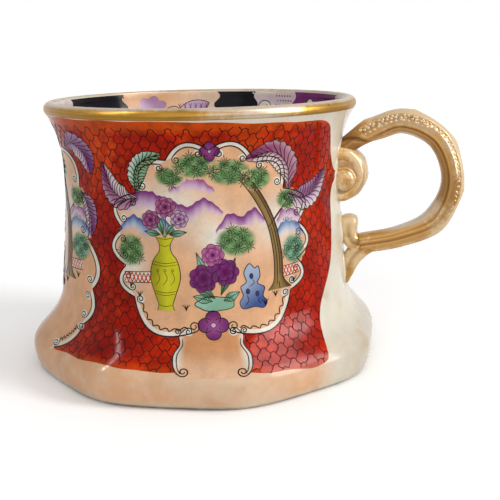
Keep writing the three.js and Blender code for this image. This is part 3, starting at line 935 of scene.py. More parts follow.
def gold_group():
    """Gold on glaze, rubbed in patches. The paint's channels are how rubbed, how darkened and how bare it is;
    the darkening is painted shade in hollows, and on the lip also its streaks.
    """
    tree, given, result = node_group(
        "rubbed_gold",
        [(label, COLOUR, None) for label in ("Paint", "Gold", "Worn", "Hollow", "Bare")]
        + [("Vector", VECTOR, None)]
        + [(label, FLOAT, 0.5) for label in ("Scale", "Bias", "Softness", "Metallic", "Roughness")],
        [("Color", COLOUR), ("Metallic", FLOAT), ("Roughness", FLOAT)],
    )
    facts = tree.nodes.new("ShaderNodeSeparateColor")
    feed(tree, facts.inputs["Color"], given["Paint"])
    rubbed, hollow_shade, bare = facts.outputs
    rub = maths(tree, "SUBTRACT", given["Bias"], maths(tree, "MULTIPLY", rubbed, RUB_PULL))
    place, scale = given["Vector"], given["Scale"]
    patch = use_group(tree, WORN, Vector=place, Scale=scale, Bias=rub, Softness=given["Softness"])
    broad = maths(tree, "MULTIPLY", scale, 0.5)
    tint = use_group(tree, WORN, Vector=place, Scale=broad, Bias=0.5, Softness=0.2)["Mask"]
    dull, bright = (blend(tree, 1.0, given["Gold"], tone, "MULTIPLY") for tone in (DULL_GOLD, BRIGHT_GOLD))
    colour = blend(tree, patch["Mask"], blend(tree, tint, dull, bright), given["Worn"])
    # Painted shade: hollows, and the lip's streaks, go towards the dark colour.
    colour = blend(tree, maths(tree, "MULTIPLY", hollow_shade, HOLLOW_SHADE_SHARE, True), colour, given["Hollow"])
    feed(tree, result["Color"], blend(tree, bare, colour, given["Bare"]))
    left = maths(tree, "SUBTRACT", 1.0, maths(tree, "MAXIMUM", patch["Mask"], bare), True)
    feed(tree, result["Metallic"], maths(tree, "MULTIPLY", left, given["Metallic"]))
    grain = maths(tree, "SUBTRACT", maths(tree, "MULTIPLY", patch["Grain"], GRAIN_SHARE), GRAIN_MIDDLE)
    feed(tree, result["Roughness"], maths(tree, "ADD", grain, given["Roughness"]))
    return tree


GOLD = gold_group()
BUMP_DEPTH = 0.5 * MM


def start_material(name, roughness, specular, ripple, strength):
    """A material with the paint attribute as its colour and the glaze's waves as its bump."""
    material = bpy.data.materials.new(name)
    material.use_nodes = True
    tree = material.node_tree
    shader = tree.nodes["Principled BSDF"]
    place = tree.nodes.new("ShaderNodeTexCoord").outputs["Object"]
    paint = tree.nodes.new("ShaderNodeAttribute")
    paint.attribute_name = "paint"
    bump = tree.nodes.new("ShaderNodeBump")
    height = use_group(tree, RIPPLE, Vector=place, Waves=ripple)["Height"]
    feed_all(tree, bump, {"Strength": strength, "Distance": BUMP_DEPTH, "Height": height})
    feed_all(tree, shader, {
        "Roughness": roughness, "Specular IOR Level": specular, "Normal": bump.outputs["Normal"],
    })
    return material, tree, shader.inputs, place, paint.outputs["Color"]


# Stains of the glaze: scale, bias and softness of the patches, then their share, colour and way of mixing.
GLAZE_STAINS = (
    (40.0, 0.52, 0.12, 0.5, GLAZE_MILKY, "MIX"),
    (34.0, 0.54, 0.14, 0.4, GLAZE_COOL, "MULTIPLY"),
    (70.0, 0.61, 0.07, 0.4, RUST, "MIX"),
    (330.0, 0.7, 0.02, 0.75, PIT_BROWN, "MIX"),
)


def glaze_material():
    """Clear glaze over washes of colour, with milky and greenish pools, rusty stains and brown pits."""
    material, tree, shader, place, colour = start_material(
        "lead_glaze", roughness=0.12, specular=0.12, ripple=75.0, strength=0.2
    )
    for scale, bias, softness, share, tint, mode in GLAZE_STAINS:
        mask = use_group(tree, WORN, Vector=place, Scale=scale, Bias=bias, Softness=softness)["Mask"]
        colour = blend(tree, maths(tree, "MULTIPLY", mask, share), colour, tint, mode)
    feed(tree, shader["Base Color"], colour)
    return material


def enamel_material(name, streaks, depth):
    """Painted enamel that lies thinner and thicker in streaks."""
    material, tree, shader, place, colour = start_material(
        name, roughness=0.13, specular=0.06, ripple=110.0, strength=0.2
    )
    tone = use_group(tree, STREAKS, Vector=place, Scale=streaks, Depth=depth)["Tone"]
    feed(tree, shader["Base Color"], blend(tree, 1.0, colour, tone, "MULTIPLY"))
    return material


def gold_material(name, **look):
    """Gold that is rubbed, darkened with painted shade in its hollows, or bare as its piece is painted."""
    material, tree, shader, place, paint = start_material(
        name, look["Roughness"], specular=0.3, ripple=150.0, strength=0.35
    )
    finish = use_group(tree, GOLD, Vector=place, Paint=paint, Bare=GLAZE, **look)
    for made, socket in (("Color", "Base Color"), ("Metallic", "Metallic"), ("Roughness", "Roughness")):
        feed(tree, shader[socket], finish[made])
    return material


glaze = glaze_material()
red_enamel = enamel_material("iron_red_enamel", streaks=150.0, depth=0.34)
picture_enamel = enamel_material("painted_enamel", streaks=130.0, depth=0.13)
ink_enamel = enamel_material("outline_enamel", streaks=90.0, depth=0.25)
# Each gold's dark colour is the painted shade in its hollows.
gilding = gold_material(
    "worn_gilding", Gold=srgb(168, 124, 40), Worn=srgb(212, 194, 172), Hollow=srgb(104, 70, 20),
    Scale=48.0, Softness=0.16, Bias=0.7, Metallic=0.55, Roughness=0.3,
)
lustre = gold_material(
    "worn_gold_lustre", Gold=srgb(202, 154, 84), Worn=srgb(230, 200, 154), Hollow=srgb(104, 60, 16),
    Scale=85.0, Softness=0.09, Bias=0.66, Metallic=0.24, Roughness=0.19,
)

# The body

underside = points_of(np.linspace(CENTRE_RADIUS, STANDING_RADIUS, UNDERSIDE_RINGS), np.zeros(UNDERSIDE_RINGS))
floor_heights = np.full(FLOOR_RINGS, FLOOR_HEIGHT)
cup_floor = points_of(np.linspace(FLOOR_RADIUS, CENTRE_RADIUS, FLOOR_RINGS), floor_heights)
body_section = np.vstack([underside, outside_line, bead_line[1:-1], inside_line, cup_floor])
points, faces = loft(turned(body_section))
from_handle = np.degrees(np.abs(np.arctan2(points[:, 1], points[:, 0])))
row = np.concatenate([np.repeat(np.arange(len(body_section)), COLUMNS), [0, len(body_section)]])
outside = (row >= len(underside)) & (row < len(underside) + len(outside_line))
wash = GLAZE
# Washes low on the wall: colour, share, and the heights between which each dies away. The grey on the handle
# side and the dark line at the foot's edge are painted shade.
for colour, share, low, high in (
    (PEACH, outside * smooth(from_handle, 34, 44), 16, 24),
    (FOOT_GREY, 0.55 * outside, 1.5, 5),
    # Painted shade: the low wall on the handle side is greyed to darken it.
    (HANDLE_SIDE_SHADE, 0.85 * outside * fall(from_handle, 24, 44), 12, 26),
    # Painted shade: a dark line along the foot's standing edge, where it meets the floor.
    (CONTACT_SHADE, 0.85, 0.5, 1.9),
):
    wash = mix(wash, colour, share * fall(points[:, 2], low, high))
new_piece("body", points, faces, wash, glaze, "glaze", "body_wall", "base_plate")

# The red ground and its cells

# One edge of the ground beside the handle: degrees from the handle, and the way up the wall.
GROUND_SIDE = [
    (43.0, 13.0), (38.6, 14.6), (37.0, 20.0), (34.0, 30.0), (28.5, 41.0), (21.5, 52.0), (18.4, 65.0),
    (17.4, 77.0), (14.0, 82.0), (9.6, 84.6), (14.2, 88.0), (18.0, 94.0), (21.5, 101.4), (25.0, 106.2),
    (31.0, 108.8), (40.0, 109.3),
]
# The ground's lower edge: degrees from the handle, and the way up the wall.
GROUND_FOOT = [
    (43, 13.0), (48, 13.6), (57, 15.0), (66, 16.4), (88, 17.0), (98, 16.6), (109, 18.0), (122, 17.5),
    (138, 16.2), (141, 17.6), (180, 18.0),
]
BRIM_GAP, BRIM_DIP, GROUND_NET, EDGE_POINTS = 0.3, 2.4, 1.25, 160
CELL_PITCH, CELL_ROW, CELL_DIP, NECK_HALF, NECK_DROP, CELL_MARGIN = 6.5, 2.5, 0.3, 1.0, 1.25, 3.2
CELL_BAR = (0.36, 0.2, 1.0)
# Ripples that make the cells uneven, sideways and upwards: a size, and how fast it runs by x and by y.
CELL_SWAYS = [[(0.55, 0.11, 0.23), (0.12, 1.7, 2.1)], [(0.6, 0.17, -0.13), (0.12, -1.3, 1.9)]]
# The hand-drawn edges: how far each sways and how fast, where the brim dips, and where it starts to sway.
FOOT_SWAY, FOOT_WAVE, BRIM_SWAY, BRIM_WAVE = 0.3, 0.4, 0.2, 0.3
BRIM_DIPS, BRIM_SWAYS = (86, 142), (0, 0.3)
# Clouds in the red: their strength, how fast the broad and the fine ones run, and how much they bend.
CLOUD, BROAD_X, BROAD_Y, BROAD_BEND = 0.25, 0.19, 0.11, 2
FINE_X, FINE_Y, FINE_BEND, FINE_ROWS = 0.9, 0.7, 1.6, 1.1
# Where the red is deep: in the clouds, and in a band beside each panel that fades out upwards.
CLOUD_DEEP, SIDE_DEEP, SIDE_BAND, SIDE_FADES = 0.8, 0.45, (64, 16), (55, 95)
# Where it is thin and orange: in patches under the lip, between the clouds, at the foot and at the brim.
BLUSH_SHOWS, BLUSH_WAVE, BLUSH_NARROW, BLUSH_RISES = 0.45, 0.052, 3, (80, 98)
THIN_LEAST, THIN_MORE, THIN_RISES, THIN_CLOUDS = 0.15, 0.3, (50, 95), (0.1, 0.35)
FOOT_THIN, FOOT_THIN_ENDS, BRIM_THIN, BRIM_THIN_RISES = 0.45, (0.6, 3.4), 0.8, (105.5, 109.5)
ground_brush = Brush(wall_skin, 180)


def foot_height(x):
    return read_off(180 - np.degrees(np.abs(x) / UNROLL_RADIUS), GROUND_FOOT)


def ground_edge():
    line = through(GROUND_SIDE)
    right = points_of(np.radians(180 - line[:, 0]) * UNROLL_RADIUS, line[:, 1])
    left = (right * (-1, 1))[::-1]
    x = np.linspace(left[-1, 0], right[0, 0], EDGE_POINTS)[1:-1]
    foot = foot_height(x) + FOOT_SWAY * np.sin(x * FOOT_WAVE)
    from_front = np.abs(np.abs(x) / UNROLL_RADIUS - math.pi / 2)
    brim = WALL_TOP - BRIM_GAP - BRIM_DIP * smooth(np.abs(x), *BRIM_DIPS)
    brim = brim + BRIM_SWAY * np.sin(x * BRIM_WAVE) * smooth(from_front, *BRIM_SWAYS)
    return np.vstack([right, points_of(x, brim)[::-1], left, points_of(x, foot)])


def ground_wash(p):
    """Red that is deeper beside the panels, and thin and orange near the lip and the foot."""
    x, y = p.T
    uneven = 0.5 + CLOUD * np.sin(x * BROAD_X + BROAD_BEND * np.sin(y * BROAD_Y))
    uneven = uneven + CLOUD * np.sin(x * FINE_X + FINE_BEND * np.sin(y * FINE_Y)) * np.sin(y * FINE_ROWS)
    beside_panel = hump(np.abs(x), *SIDE_BAND) * fall(y, *SIDE_FADES)
    colour = mix(RED, RED_DEEP, np.clip(CLOUD_DEEP * uneven + SIDE_DEEP * beside_panel, 0, 1))
    blush = np.exp(-((np.sin(x * BLUSH_WAVE) * BLUSH_NARROW) ** 2)) * smooth(y, *BLUSH_RISES)
    thin = (THIN_LEAST + THIN_MORE * smooth(y, *THIN_RISES)) * fall(uneven, *THIN_CLOUDS)
    thin = thin + FOOT_THIN * fall(y - foot_height(x), *FOOT_THIN_ENDS)
    colour = mix(colour, ORANGE, np.clip(BLUSH_SHOWS * blush + thin, 0, 1))
    return mix(colour, ORANGE, BRIM_THIN * smooth(y, *BRIM_THIN_RISES))


def cell_strokes(edge):
    """Both ends of each stroke of the bell-shaped cells that cover the ground, clear of the reserves."""
    low, high = edge.min(0), edge.max(0)
    rows = []
    for j in range(int((high[1] - low[1]) / CELL_ROW) + 3):
        for i in range(int((high[0] - low[0]) / CELL_PITCH) + 2):
            x, y = low[0] + CELL_PITCH * (i + (j % 2) / 2), low[1] + CELL_ROW * j
            for s in (1, -1):
                cap, neck = (x + s * NECK_HALF, y - CELL_DIP), (x + s * (NECK_HALF + 0.1), y - NECK_DROP)
                next_cap = (x + s * (CELL_PITCH / 2 - NECK_HALF), y - CELL_ROW - CELL_DIP)
                rows += [((x, y + CELL_DIP), cap), (cap, neck), (neck, next_cap)]
    ends = np.array(rows)
    x, y = ends[..., 0].copy(), ends[..., 1].copy()
    for k, sways in enumerate(CELL_SWAYS):
        ends[..., k] += sum(size * np.sin(by_x * x + by_y * y) for size, by_x, by_y in sways)
    kept = np.ones(len(ends), bool)
    for spot in (ends[:, 0], ends.mean(1), ends[:, 1]):
        kept &= inside(spot, edge) & (spot[:, 1] < WALL_TOP - CELL_MARGIN)
        for brush in panels.values():
            turn = ground_brush.angle(spot[:, 0]) - brush.middle
            x = brush.flip * np.angle(np.exp(1j * turn)) * UNROLL_RADIUS / brush.stretch
            for reserve in brush.reserves:
                kept &= ~inside(points_of(x, spot[:, 1]), reserve)
    return ends[kept]


# Each form of bead: its node, and the inputs for its sides and its rings.
BEAD_FORMS = {
    "ball": ("GeometryNodeMeshUVSphere", "Segments", "Rings"),
    "bar": ("GeometryNodeMeshCylinder", "Vertices", "Side Segments"),
}


def bead_tree(name, shape, sides, rings):
    """Geometry nodes that lay a small closed form at each point, turned and sized by the point."""
    tree = bpy.data.node_groups.new(name, "GeometryNodeTree")
    add_inputs(tree, [("Geometry", "NodeSocketGeometry", None), ("Material", "NodeSocketMaterial", None)])
    add_inputs(tree, [("Sides", "NodeSocketInt", sides), ("Rings", "NodeSocketInt", rings)])
    add_inputs(tree, [(label, FLOAT, 1.0) for label in ("Width", "Height", "Length")])
    tree.interface.new_socket("Geometry", in_out="OUTPUT", socket_type="NodeSocketGeometry")
    node = tree.nodes.new
    given, result = node("NodeGroupInput").outputs, node("NodeGroupOutput")
    kind, sides_input, rings_input = BEAD_FORMS[shape]
    form, size, times = node(kind), node("ShaderNodeCombineXYZ"), node("ShaderNodeVectorMath")
    own, turn = node("GeometryNodeInputNamedAttribute"), node("GeometryNodeInputNamedAttribute")
    own.data_type, turn.data_type, times.operation = "FLOAT_VECTOR", "QUATERNION", "MULTIPLY"
    lay, real = node("GeometryNodeInstanceOnPoints"), node("GeometryNodeRealizeInstances")
    finish = node("GeometryNodeSetMaterial")
    feed_all(tree, form, {"Radius": 0.5, sides_input: given["Sides"], rings_input: given["Rings"]})
    if shape == "bar":
        feed(tree, form.inputs["Depth"], 1.0)
    feed_all(tree, size, {"X": given["Width"], "Y": given["Height"], "Z": given["Length"]})
    feed(tree, own.inputs["Name"], "reach")
    feed(tree, turn.inputs["Name"], "turn")
    feed_all(tree, times, {0: size.outputs[0], 1: own.outputs["Attribute"]})
    feed_all(tree, lay, {"Points": given["Geometry"], "Instance": form.outputs["Mesh"]})
    feed_all(tree, lay, {"Rotation": turn.outputs["Attribute"], "Scale": times.outputs["Vector"]})
    feed(tree, real.inputs["Geometry"], lay.outputs["Instances"])
    feed_all(tree, finish, {"Geometry": real.outputs["Geometry"], "Material": given["Material"]})
    feed(tree, result.inputs["Geometry"], finish.outputs["Geometry"])
    return tree


def laid_beads(name, tree, places, heights, lengths, reach, sizes, material):
    """Runs the tree on points in the frame. heights and lengths are each bead's own directions."""
    mesh = bpy.data.meshes.new(name)
    mesh.from_pydata((places * MM).tolist(), [], [])
    axes = points_of(np.cross(heights, lengths), heights, lengths)
    turns = np.array([Matrix(a.tolist()).to_quaternion()[:] for a in axes], np.float32)
    reach = np.asarray(reach, np.float32)
    mesh.attributes.new("turn", "QUATERNION", "POINT").data.foreach_set("value", turns.ravel())
    mesh.attributes.new("reach", "FLOAT_VECTOR", "POINT").data.foreach_set("vector", reach.ravel())
    obj = bpy.data.objects.new(name, mesh)
    scene.collection.objects.link(obj)
    modifier = obj.modifiers.new("beads", "NODES")
    modifier.node_group = tree
    sockets = {s.name: s.identifier for s in tree.interface.items_tree if s.in_out == "INPUT"}
    for label, value in zip(("Width", "Height", "Length"), sizes):
        modifier[sockets[label]] = value * MM
    modifier[sockets["Material"]] = material
    bpy.context.view_layer.update()
    made = bpy.data.meshes.new_from_object(obj.evaluated_get(bpy.context.evaluated_depsgraph_get()))
    obj.modifiers.clear()
    obj.data = made
    made.name = name
    made.shade_smooth()
    return obj


ground_outline = ground_edge()
ground_brush.fill(ground_outline, GROUND_LAYER, ground_wash, GROUND_NET)
ground_brush.paint.make("red_ground", red_enamel)
strokes = cell_strokes(ground_outline)
spots = (strokes[:, 0], strokes[:, 1], strokes.mean(1))
start, end, middle = (ground_brush.place(spot, GROUND_LAYER) for spot in spots)
away = unit(ground_brush.place(spots[2], GROUND_LAYER + 1) - middle)
span = np.linalg.norm(end - start, axis=1)
ahead = unit(end - start - away * np.sum((end - start) * away, axis=1)[:, None])
reach = points_of(np.ones_like(span), np.ones_like(span), span + 0.3)
bars = bead_tree("cell_outline_bars", "bar", 6, 1)
cells = laid_beads("ground_cells", bars, middle, away, ahead, reach, CELL_BAR, ink_enamel)
dress(cells, CELL_INK, ink_enamel, "glaze")
for name, brush in panels.items():
    brush.paint.make(name + "_panel_paint", picture_enamel)
    brush.ink.make(name + "_panel_lines", ink_enamel)

# The border inside the mouth

BORDER_TOP, BORDER_LOW, BLOCK_POINTS, BLOCK_NET = 1.6, 19.0, 14, 1.2
FROM_BEHIND = 101.7  # the angle straight across the mouth from the viewer
SCROLL_EDGE = [
    (-6, 15), (-3.6, 14.4), (-2.4, 11), (-3.4, 8.4), (-1.4, 6), (2, 6.6), (3.4, 10), (2.2, 14.6), (-2, 17),
]
FAN_MIDDLE, FAN_RADIUS, FAN_RIBS = (-1.5, 17.5), 12.0, 6
FAN_START, FAN_END = math.radians(-155), math.radians(-62)
DOT_BLOCKS, DOT_ROWS, DOT_COLUMNS, DOT_RADIUS = (38, 83), 6, 6, 0.3


def block(brush, left, right, layer, shade, wave=1.2):
    """A length of the border with waved ends."""
    y = np.linspace(BORDER_TOP, BORDER_LOW, BLOCK_POINTS)
    sway = wave * np.sin((y - BORDER_TOP) * 0.75)
    a, b = points_of(left + sway, y), points_of(right - sway, y)
    brush.fill(np.vstack([a[::-1], b]), layer, shade, BLOCK_NET)
    return a, b


def border_scroll(brush, x, side):
    place = lambda points: np.array(points, float) * (side, 1) + (x, 0)
    scroll = through(place(SCROLL_EDGE), 8, closed=True)
    brush.shape(scroll, MIDDLE_LAYER, WHITE, CLOSE_NET, BOLD, TOP_LAYER, PLUM, 1.0)
    brush.line(curl(place((0.6, 7.8)), (side, 0.2), 1.9, 1.5, side)[0], BOLD, TOP_LAYER, PLUM)
    brush.curve(place([(-4, 14), (0, 12), (1.6, 14.4)]), FIRM, TOP_LAYER, PLUM)


def border_repeat(brush):
    """Half the border: black, a peach reserve, black, then scrolls and dots about a purple block."""
    block(brush, -80, 100, GROUND_LAYER, mix(WHITE, LILAC, 0.5), 0)
    block(brush, -73, -36, RESERVE_LAYER, BLACK)
    block(brush, 5, 27, RESERVE_LAYER, BLACK)
    block(brush, 48, 82, RESERVE_LAYER, fade(PURPLE, PLUM, (50, 4), (74, 18)))
    peach = fade(PEACH, mix(PEACH, WHITE, 0.45), (-20, 4), (-2, 14))
    for edge in block(brush, -38, 8, FIELD_LAYER, peach, -1.6):
        brush.line(edge, FIRM)
    cloud = fade(mix(PURPLE, LILAC, 0.5), LILAC, (-22, 6), (-29, 12))
    brush.fill(oval(-24, 9, 7, 5.5, 7, 0.3), MIDDLE_LAYER, cloud)
    fan = np.vstack([arc(FAN_MIDDLE, FAN_RADIUS, FAN_START, FAN_END, 24), FAN_MIDDLE])
    brush.shape(fan, MIDDLE_LAYER, fade(LILAC, PURPLE, (-6, 8), (-2, 16)), CLOSE_NET, FIRM)
    for k in range(FAN_RIBS):
        brush.line([(-11 + 2.6 * k, 7.0), (-6.5 + 2.4 * k, 16.5)], PEN, TOP_LAYER, PLUM)
        brush.line([(3.4 - 2.6 * k, 7.0), (-1.5 - 2.4 * k, 16.5)], PEN, TOP_LAYER, PLUM)
    brush.curve([(-19, 17), (-17.5, 10), (-12, 8.4), (-9.6, 13), (-12, 18)])
    brush.curve([(-34, 15), (-30, 12.4), (-27, 15.6), (-22, 13)])
    border_scroll(brush, 32, 1)
    border_scroll(brush, 98, -1)
    for left in DOT_BLOCKS:
        for j in range(DOT_ROWS):
            for i in range(DOT_COLUMNS):
                dot = (left + 1.5 * i + 0.7 * (j % 2), BORDER_TOP + 2 + 2.2 * j)
                brush.line(arc(dot, DOT_RADIUS, 0, 5.6, 6), FIRM, TOP_LAYER, PURPLE, 1.0, 0.4)
    brush.shape(oval(60, 10, 5.4, 4.6, 5, 0.5), MIDDLE_LAYER, WHITE, WIDE_NET, FIRM, TOP_LAYER, PLUM, 1.0)
    brush.line(curl((57, 8), (0.8, 0.6), 2.2, 1.4, 1)[0], FIRM, TOP_LAYER, PLUM)


border = Brush(mouth_skin, FROM_BEHIND, flip=-1)
border_repeat(border)
border.middle += math.pi
border_repeat(border)
border.paint.make("mouth_border_paint", picture_enamel)
border.ink.make("mouth_border_lines", ink_enamel)

# The gilt lip

GILT_START, GILT_END, GILT_COUNT = BEAD_START - 0.28, math.radians(132), 26
# Where the gold is rubbed, in degrees round the lip with the reach of each place, and how far.
SIDE_RUB, FAR_RUB, FAR_RUBBED, RUB_SHOWS = (-62, 16), (172, 20), 0.8, 0.8
# The bead's inner and under sides, by the height over its centre; the under side is darkened with painted
# shade.
OVER_BEAD, UNDER_BEAD = (1.2, 2.5), (-2.2, -1.0)
# Brush streaks round the lip: how far and how often they sway, how close they lie, and their edges.
BROAD_SWAY, BROAD_TURNS, FINE_SWAY, FINE_TURNS = 1.2, 3, 0.6, 11
STREAK_RATE, STREAK_EDGE, UNDER_SHADE, STREAK_DULLS = 5, (0.1, 0.9), 0.6, 0.4
gilt_arc = lambda radius: arc(BEAD_CENTRE, radius, GILT_START, GILT_END, GILT_COUNT)
gilt_section = np.vstack([gilt_arc(GILT_RADIUS), gilt_arc(GILT_RADIUS - GILT_SKIN)[::-1]])
points = turned(gilt_section).reshape(-1, 3)
round_lip, above_bead = np.arctan2(points[:, 1], points[:, 0]), points[:, 2] - BEAD_CENTRE[1]
lip_degrees = np.degrees(round_lip)
rubbed = hump(lip_degrees, *SIDE_RUB) + FAR_RUBBED * hump(np.abs(lip_degrees), *FAR_RUB)
over, under = smooth(above_bead, *OVER_BEAD), fall(above_bead, *UNDER_BEAD)
sway = BROAD_SWAY * np.sin(round_lip * BROAD_TURNS) + FINE_SWAY * np.sin(round_lip * FINE_TURNS)
streaks = smooth(np.sin(points[:, 2] * STREAK_RATE + sway), *STREAK_EDGE) * (1 - over)
# Painted shade on the bead's under side, together with darker brush streaks.
shade_and_streaks = UNDER_SHADE * under + STREAK_DULLS * streaks
lip_facts = np.clip(points_of(RUB_SHOWS * rubbed + over, shade_and_streaks, np.zeros(len(points))), 0, 1)
lip_faces = quads(2 * GILT_COUNT, COLUMNS, closed=True)
new_piece("gilt_rim", points, lip_faces, lip_facts, gilding, "gilt", "rim_gilding")

# The handle

LOOP_MIDDLE, LOOP_HALF = np.array([83.0, 76.0]), np.array([21.0, 24.0])
OVAL_STOPS = (121, 90, 45, 0, -45, -90)
ROOT, BAR_END = (55.3, 86.6), (66.5, 48.6)
ROOT_HALF, ROOT_SHARE = 3.7, 0.14  # the root is pinched in at the wall
LOOP_THICK, LOOP_DEPTH = (5.6, 1.3), (6.3, 1.5)  # half sizes at the root, and what they lose by the bar
LOOP_STEP, LOOP_SIDES = 0.5, 80
KEEL_DEPTH, CORNER_DEPTH, CORNER_PITCH = 0.8, 0.9, 17.5
BED_DEPTH, GROOVE_DEPTH, WAIST_DEPTH, TURN_SWELL = 0.5, 0.75, 1.7, 1.3
SCALED_FROM, SCALES_FADE, SCALED_UNTIL = 15.0, 72.0, 92.0
SCALE_ROWS, SCALE_PITCH, SCALE_SEED = (58, 73, 88), 1.8, 4
# How far a scale can slip along its row, turn round the loop in degrees and differ in size.
SCALE_SLIP, SCALE_TURN, SCALE_SWELL = 0.4, 3.5, 0.35
SCALE_SIZE, SCALE_WEAR = (1.45, 1.3, 1.45), (0.6, 0.0, 0.0)
# Where the loop's carving starts and ends: degrees off its outer side, or mm along it from the root.
KEEL_RISES, KEEL_ENDS, CORNER_SIDE, CORNERS_END = (5, 28), (58, 95), (0, 26), (70, 95)
WAIST_PLACE, TURN_PLACE, WAIST_SIDE = (13, 7), (84, 10), (105, 165)
BED_LEAN, BED_STARTS, BED_RISES, BED_ENDS = 0.04, (SCALED_FROM - 4, SCALED_FROM - 3), (46, 54), (92, 100)
INNER_GROOVE, INNER_STARTS, INNER_FADES, INNER_LOSS = (114, 5), (14, 24), (82, 98), 0.5
SHEATH_LEAN, SHEATH_GROOVE, SHEATH_ENDS = 0.1, (3, 0.8), (110, 130)
BAR_GROOVE, BAR_STARTS = (88, 6), (74, 96)
# Where the loop's lustre is darkened with painted shade, bare or worn, in the same measures, and by how much.
FLANK_SIDE, FLANK_STARTS, FLANK_ENDS = (88, 100), (8, 16), (66, 84)
TURN_STARTS, TURN_ENDS = (34, 50), (72, 88)
# Painted shade: in the scales' bed, in the grooves, at the root by the wall, on the inner flank and in the
# turn into the bar.
BED_SHADE, GROOVE_SHADE, ROOT_SHADE, ROOT_SHADE_ENDS = 0.5, 0.75, 0.75, (8, 18)
FLANK_SHADE, FLANK_SHADE_ENDS, TURN_SHADE, TURN_SHADE_SIDE = 0.2, (122, 132), 0.4, (112, 130)
INSIDE_BARE, BARE_SIDE, BARE_STARTS, BARE_ENDS, TURN_COVER = 0.75, (126, 146), (22, 36), (98, 110), 0.8
LOOP_WORN, SPINE_WORN, SPINE_WORN_ENDS, WORN_STARTS = 0.5, 0.4, (30, 55), (12, 30)
BAR_KEEPS, BAR_KEEPS_FROM, FLANK_KEEPS = 0.5, (76, 110), 0.9


def off_spine(size):
    """The degrees between each point of a ring and its outer side."""
    return np.degrees(np.abs(np.angle(np.exp(1j * FULL_TURN * np.arange(size) / size))))[None]


def swept(line, half_thick, half_depth, press, size, power=2.5):
    """Rounded rings along a line in the handle's plane, pressed in by so much at each place."""
    a = round_angles(size)
    sunk = press(off_spine(size))
    outward = left_of(headings(line))
    across, deep = (np.sign(v) * np.abs(v) ** (2 / power) for v in (np.cos(a), -np.sin(a)))
    across, deep = np.outer(half_thick, across), np.outer(half_depth, deep)
    keep = 1 - sunk / np.maximum(np.hypot(across, deep), 0.5)
    x, z = (line[:, k : k + 1] + outward[:, k : k + 1] * across * keep for k in (0, 1))
    return points_of(x, deep * keep, z), sunk


def handle_piece(name, rings, hollow_shade, wear, *nodes, bare=0.0):
    points, faces = loft(rings)
    facts = np.zeros((len(points), 3))
    for k, share in enumerate((wear, hollow_shade, bare)):
        facts[: hollow_shade.size, k] = np.clip(np.broadcast_to(share, hollow_shade.shape), 0, 1).ravel()
    return new_piece(name, points, faces, facts, lustre, "lustre", *nodes)


oval_spots = LOOP_MIDDLE + LOOP_HALF * way_at(np.radians(OVAL_STOPS))
loop_line = even(through([ROOT, *oval_spots, BAR_END], 40, power=0.5), LOOP_STEP)
loop_run = (np.arange(len(loop_line)) * LOOP_STEP)[:, None]
loop_share = np.linspace(0, 1, len(loop_line))
loop_thick, loop_depth = (full - loss * loop_share for full, loss in (LOOP_THICK, LOOP_DEPTH))
loop_thick = ROOT_HALF + (loop_thick - ROOT_HALF) * smooth(loop_share, 0, ROOT_SHARE)


def loop_press(spine):
    """A keel with corners, the scales' bed, grooves, a waist near the root and a fuller turn into the bar."""
    keel = KEEL_DEPTH * smooth(spine, *KEEL_RISES) * fall(spine, *KEEL_ENDS)
    corners = CORNER_DEPTH * np.abs(np.sin(math.pi * loop_run / CORNER_PITCH))
    corners = corners * fall(spine, *CORNER_SIDE) * fall(loop_run, *CORNERS_END)
    sunk = BED_DEPTH * scale_bed(spine) + GROOVE_DEPTH * grooves(spine)
    waist = WAIST_DEPTH * hump(loop_run, *WAIST_PLACE) - TURN_SWELL * hump(loop_run, *TURN_PLACE)
    return keel + corners + sunk + waist * smooth(spine, *WAIST_SIDE)


def scale_bed(spine):
    """1 in the sunk strip that the scales lie in."""
    start = smooth(loop_run - BED_LEAN * spine, *BED_STARTS)
    across = smooth(spine, *BED_RISES) * fall(spine, *BED_ENDS)
    return across * start * fall(loop_run, SCALES_FADE, SCALED_UNTIL)


def grooves(spine):
    """1 along the edge of the root's sheath and the lines round the inner flank and along the bar."""
    inner = hump(spine, *INNER_GROOVE) * smooth(loop_run, *INNER_STARTS)
    inner = inner * (1 - INNER_LOSS * smooth(loop_run, *INNER_FADES))
    sheath = hump(loop_run - SHEATH_LEAN * spine, *SHEATH_GROOVE) * fall(spine, *SHEATH_ENDS)
    return inner + sheath + hump(spine, *BAR_GROOVE) * smooth(loop_run, *BAR_STARTS)


loop_spine = off_spine(LOOP_SIDES)
loop_rings = swept(loop_line, loop_thick, loop_depth, loop_press, LOOP_SIDES)[0]
inner_flank = smooth(loop_spine, *FLANK_SIDE) * smooth(loop_run, *FLANK_STARTS) * fall(loop_run, *FLANK_ENDS)
loop_turn = smooth(loop_run, *TURN_STARTS) * fall(loop_run, *TURN_ENDS)
# Painted shade in the loop's hollows, at its root and along its inner flank and turn.
loop_hollow_shade = BED_SHADE * scale_bed(loop_spine) + GROOVE_SHADE * grooves(loop_spine)
loop_hollow_shade = loop_hollow_shade + ROOT_SHADE * fall(loop_run, *ROOT_SHADE_ENDS)
loop_hollow_shade = loop_hollow_shade + FLANK_SHADE * inner_flank * fall(loop_spine, *FLANK_SHADE_ENDS)
loop_hollow_shade = loop_hollow_shade + TURN_SHADE * loop_turn * smooth(loop_spine, *TURN_SHADE_SIDE)
loop_bare = INSIDE_BARE * smooth(loop_spine, *BARE_SIDE) * smooth(loop_run, *BARE_STARTS)
loop_bare = loop_bare * fall(loop_run, *BARE_ENDS) * (1 - TURN_COVER * loop_turn)
loop_wear = (LOOP_WORN + SPINE_WORN * fall(loop_spine, *SPINE_WORN_ENDS)) * smooth(loop_run, *WORN_STARTS)
loop_wear = loop_wear * (1 - BAR_KEEPS * smooth(loop_run, *BAR_KEEPS_FROM)) * (1 - FLANK_KEEPS * inner_flank)
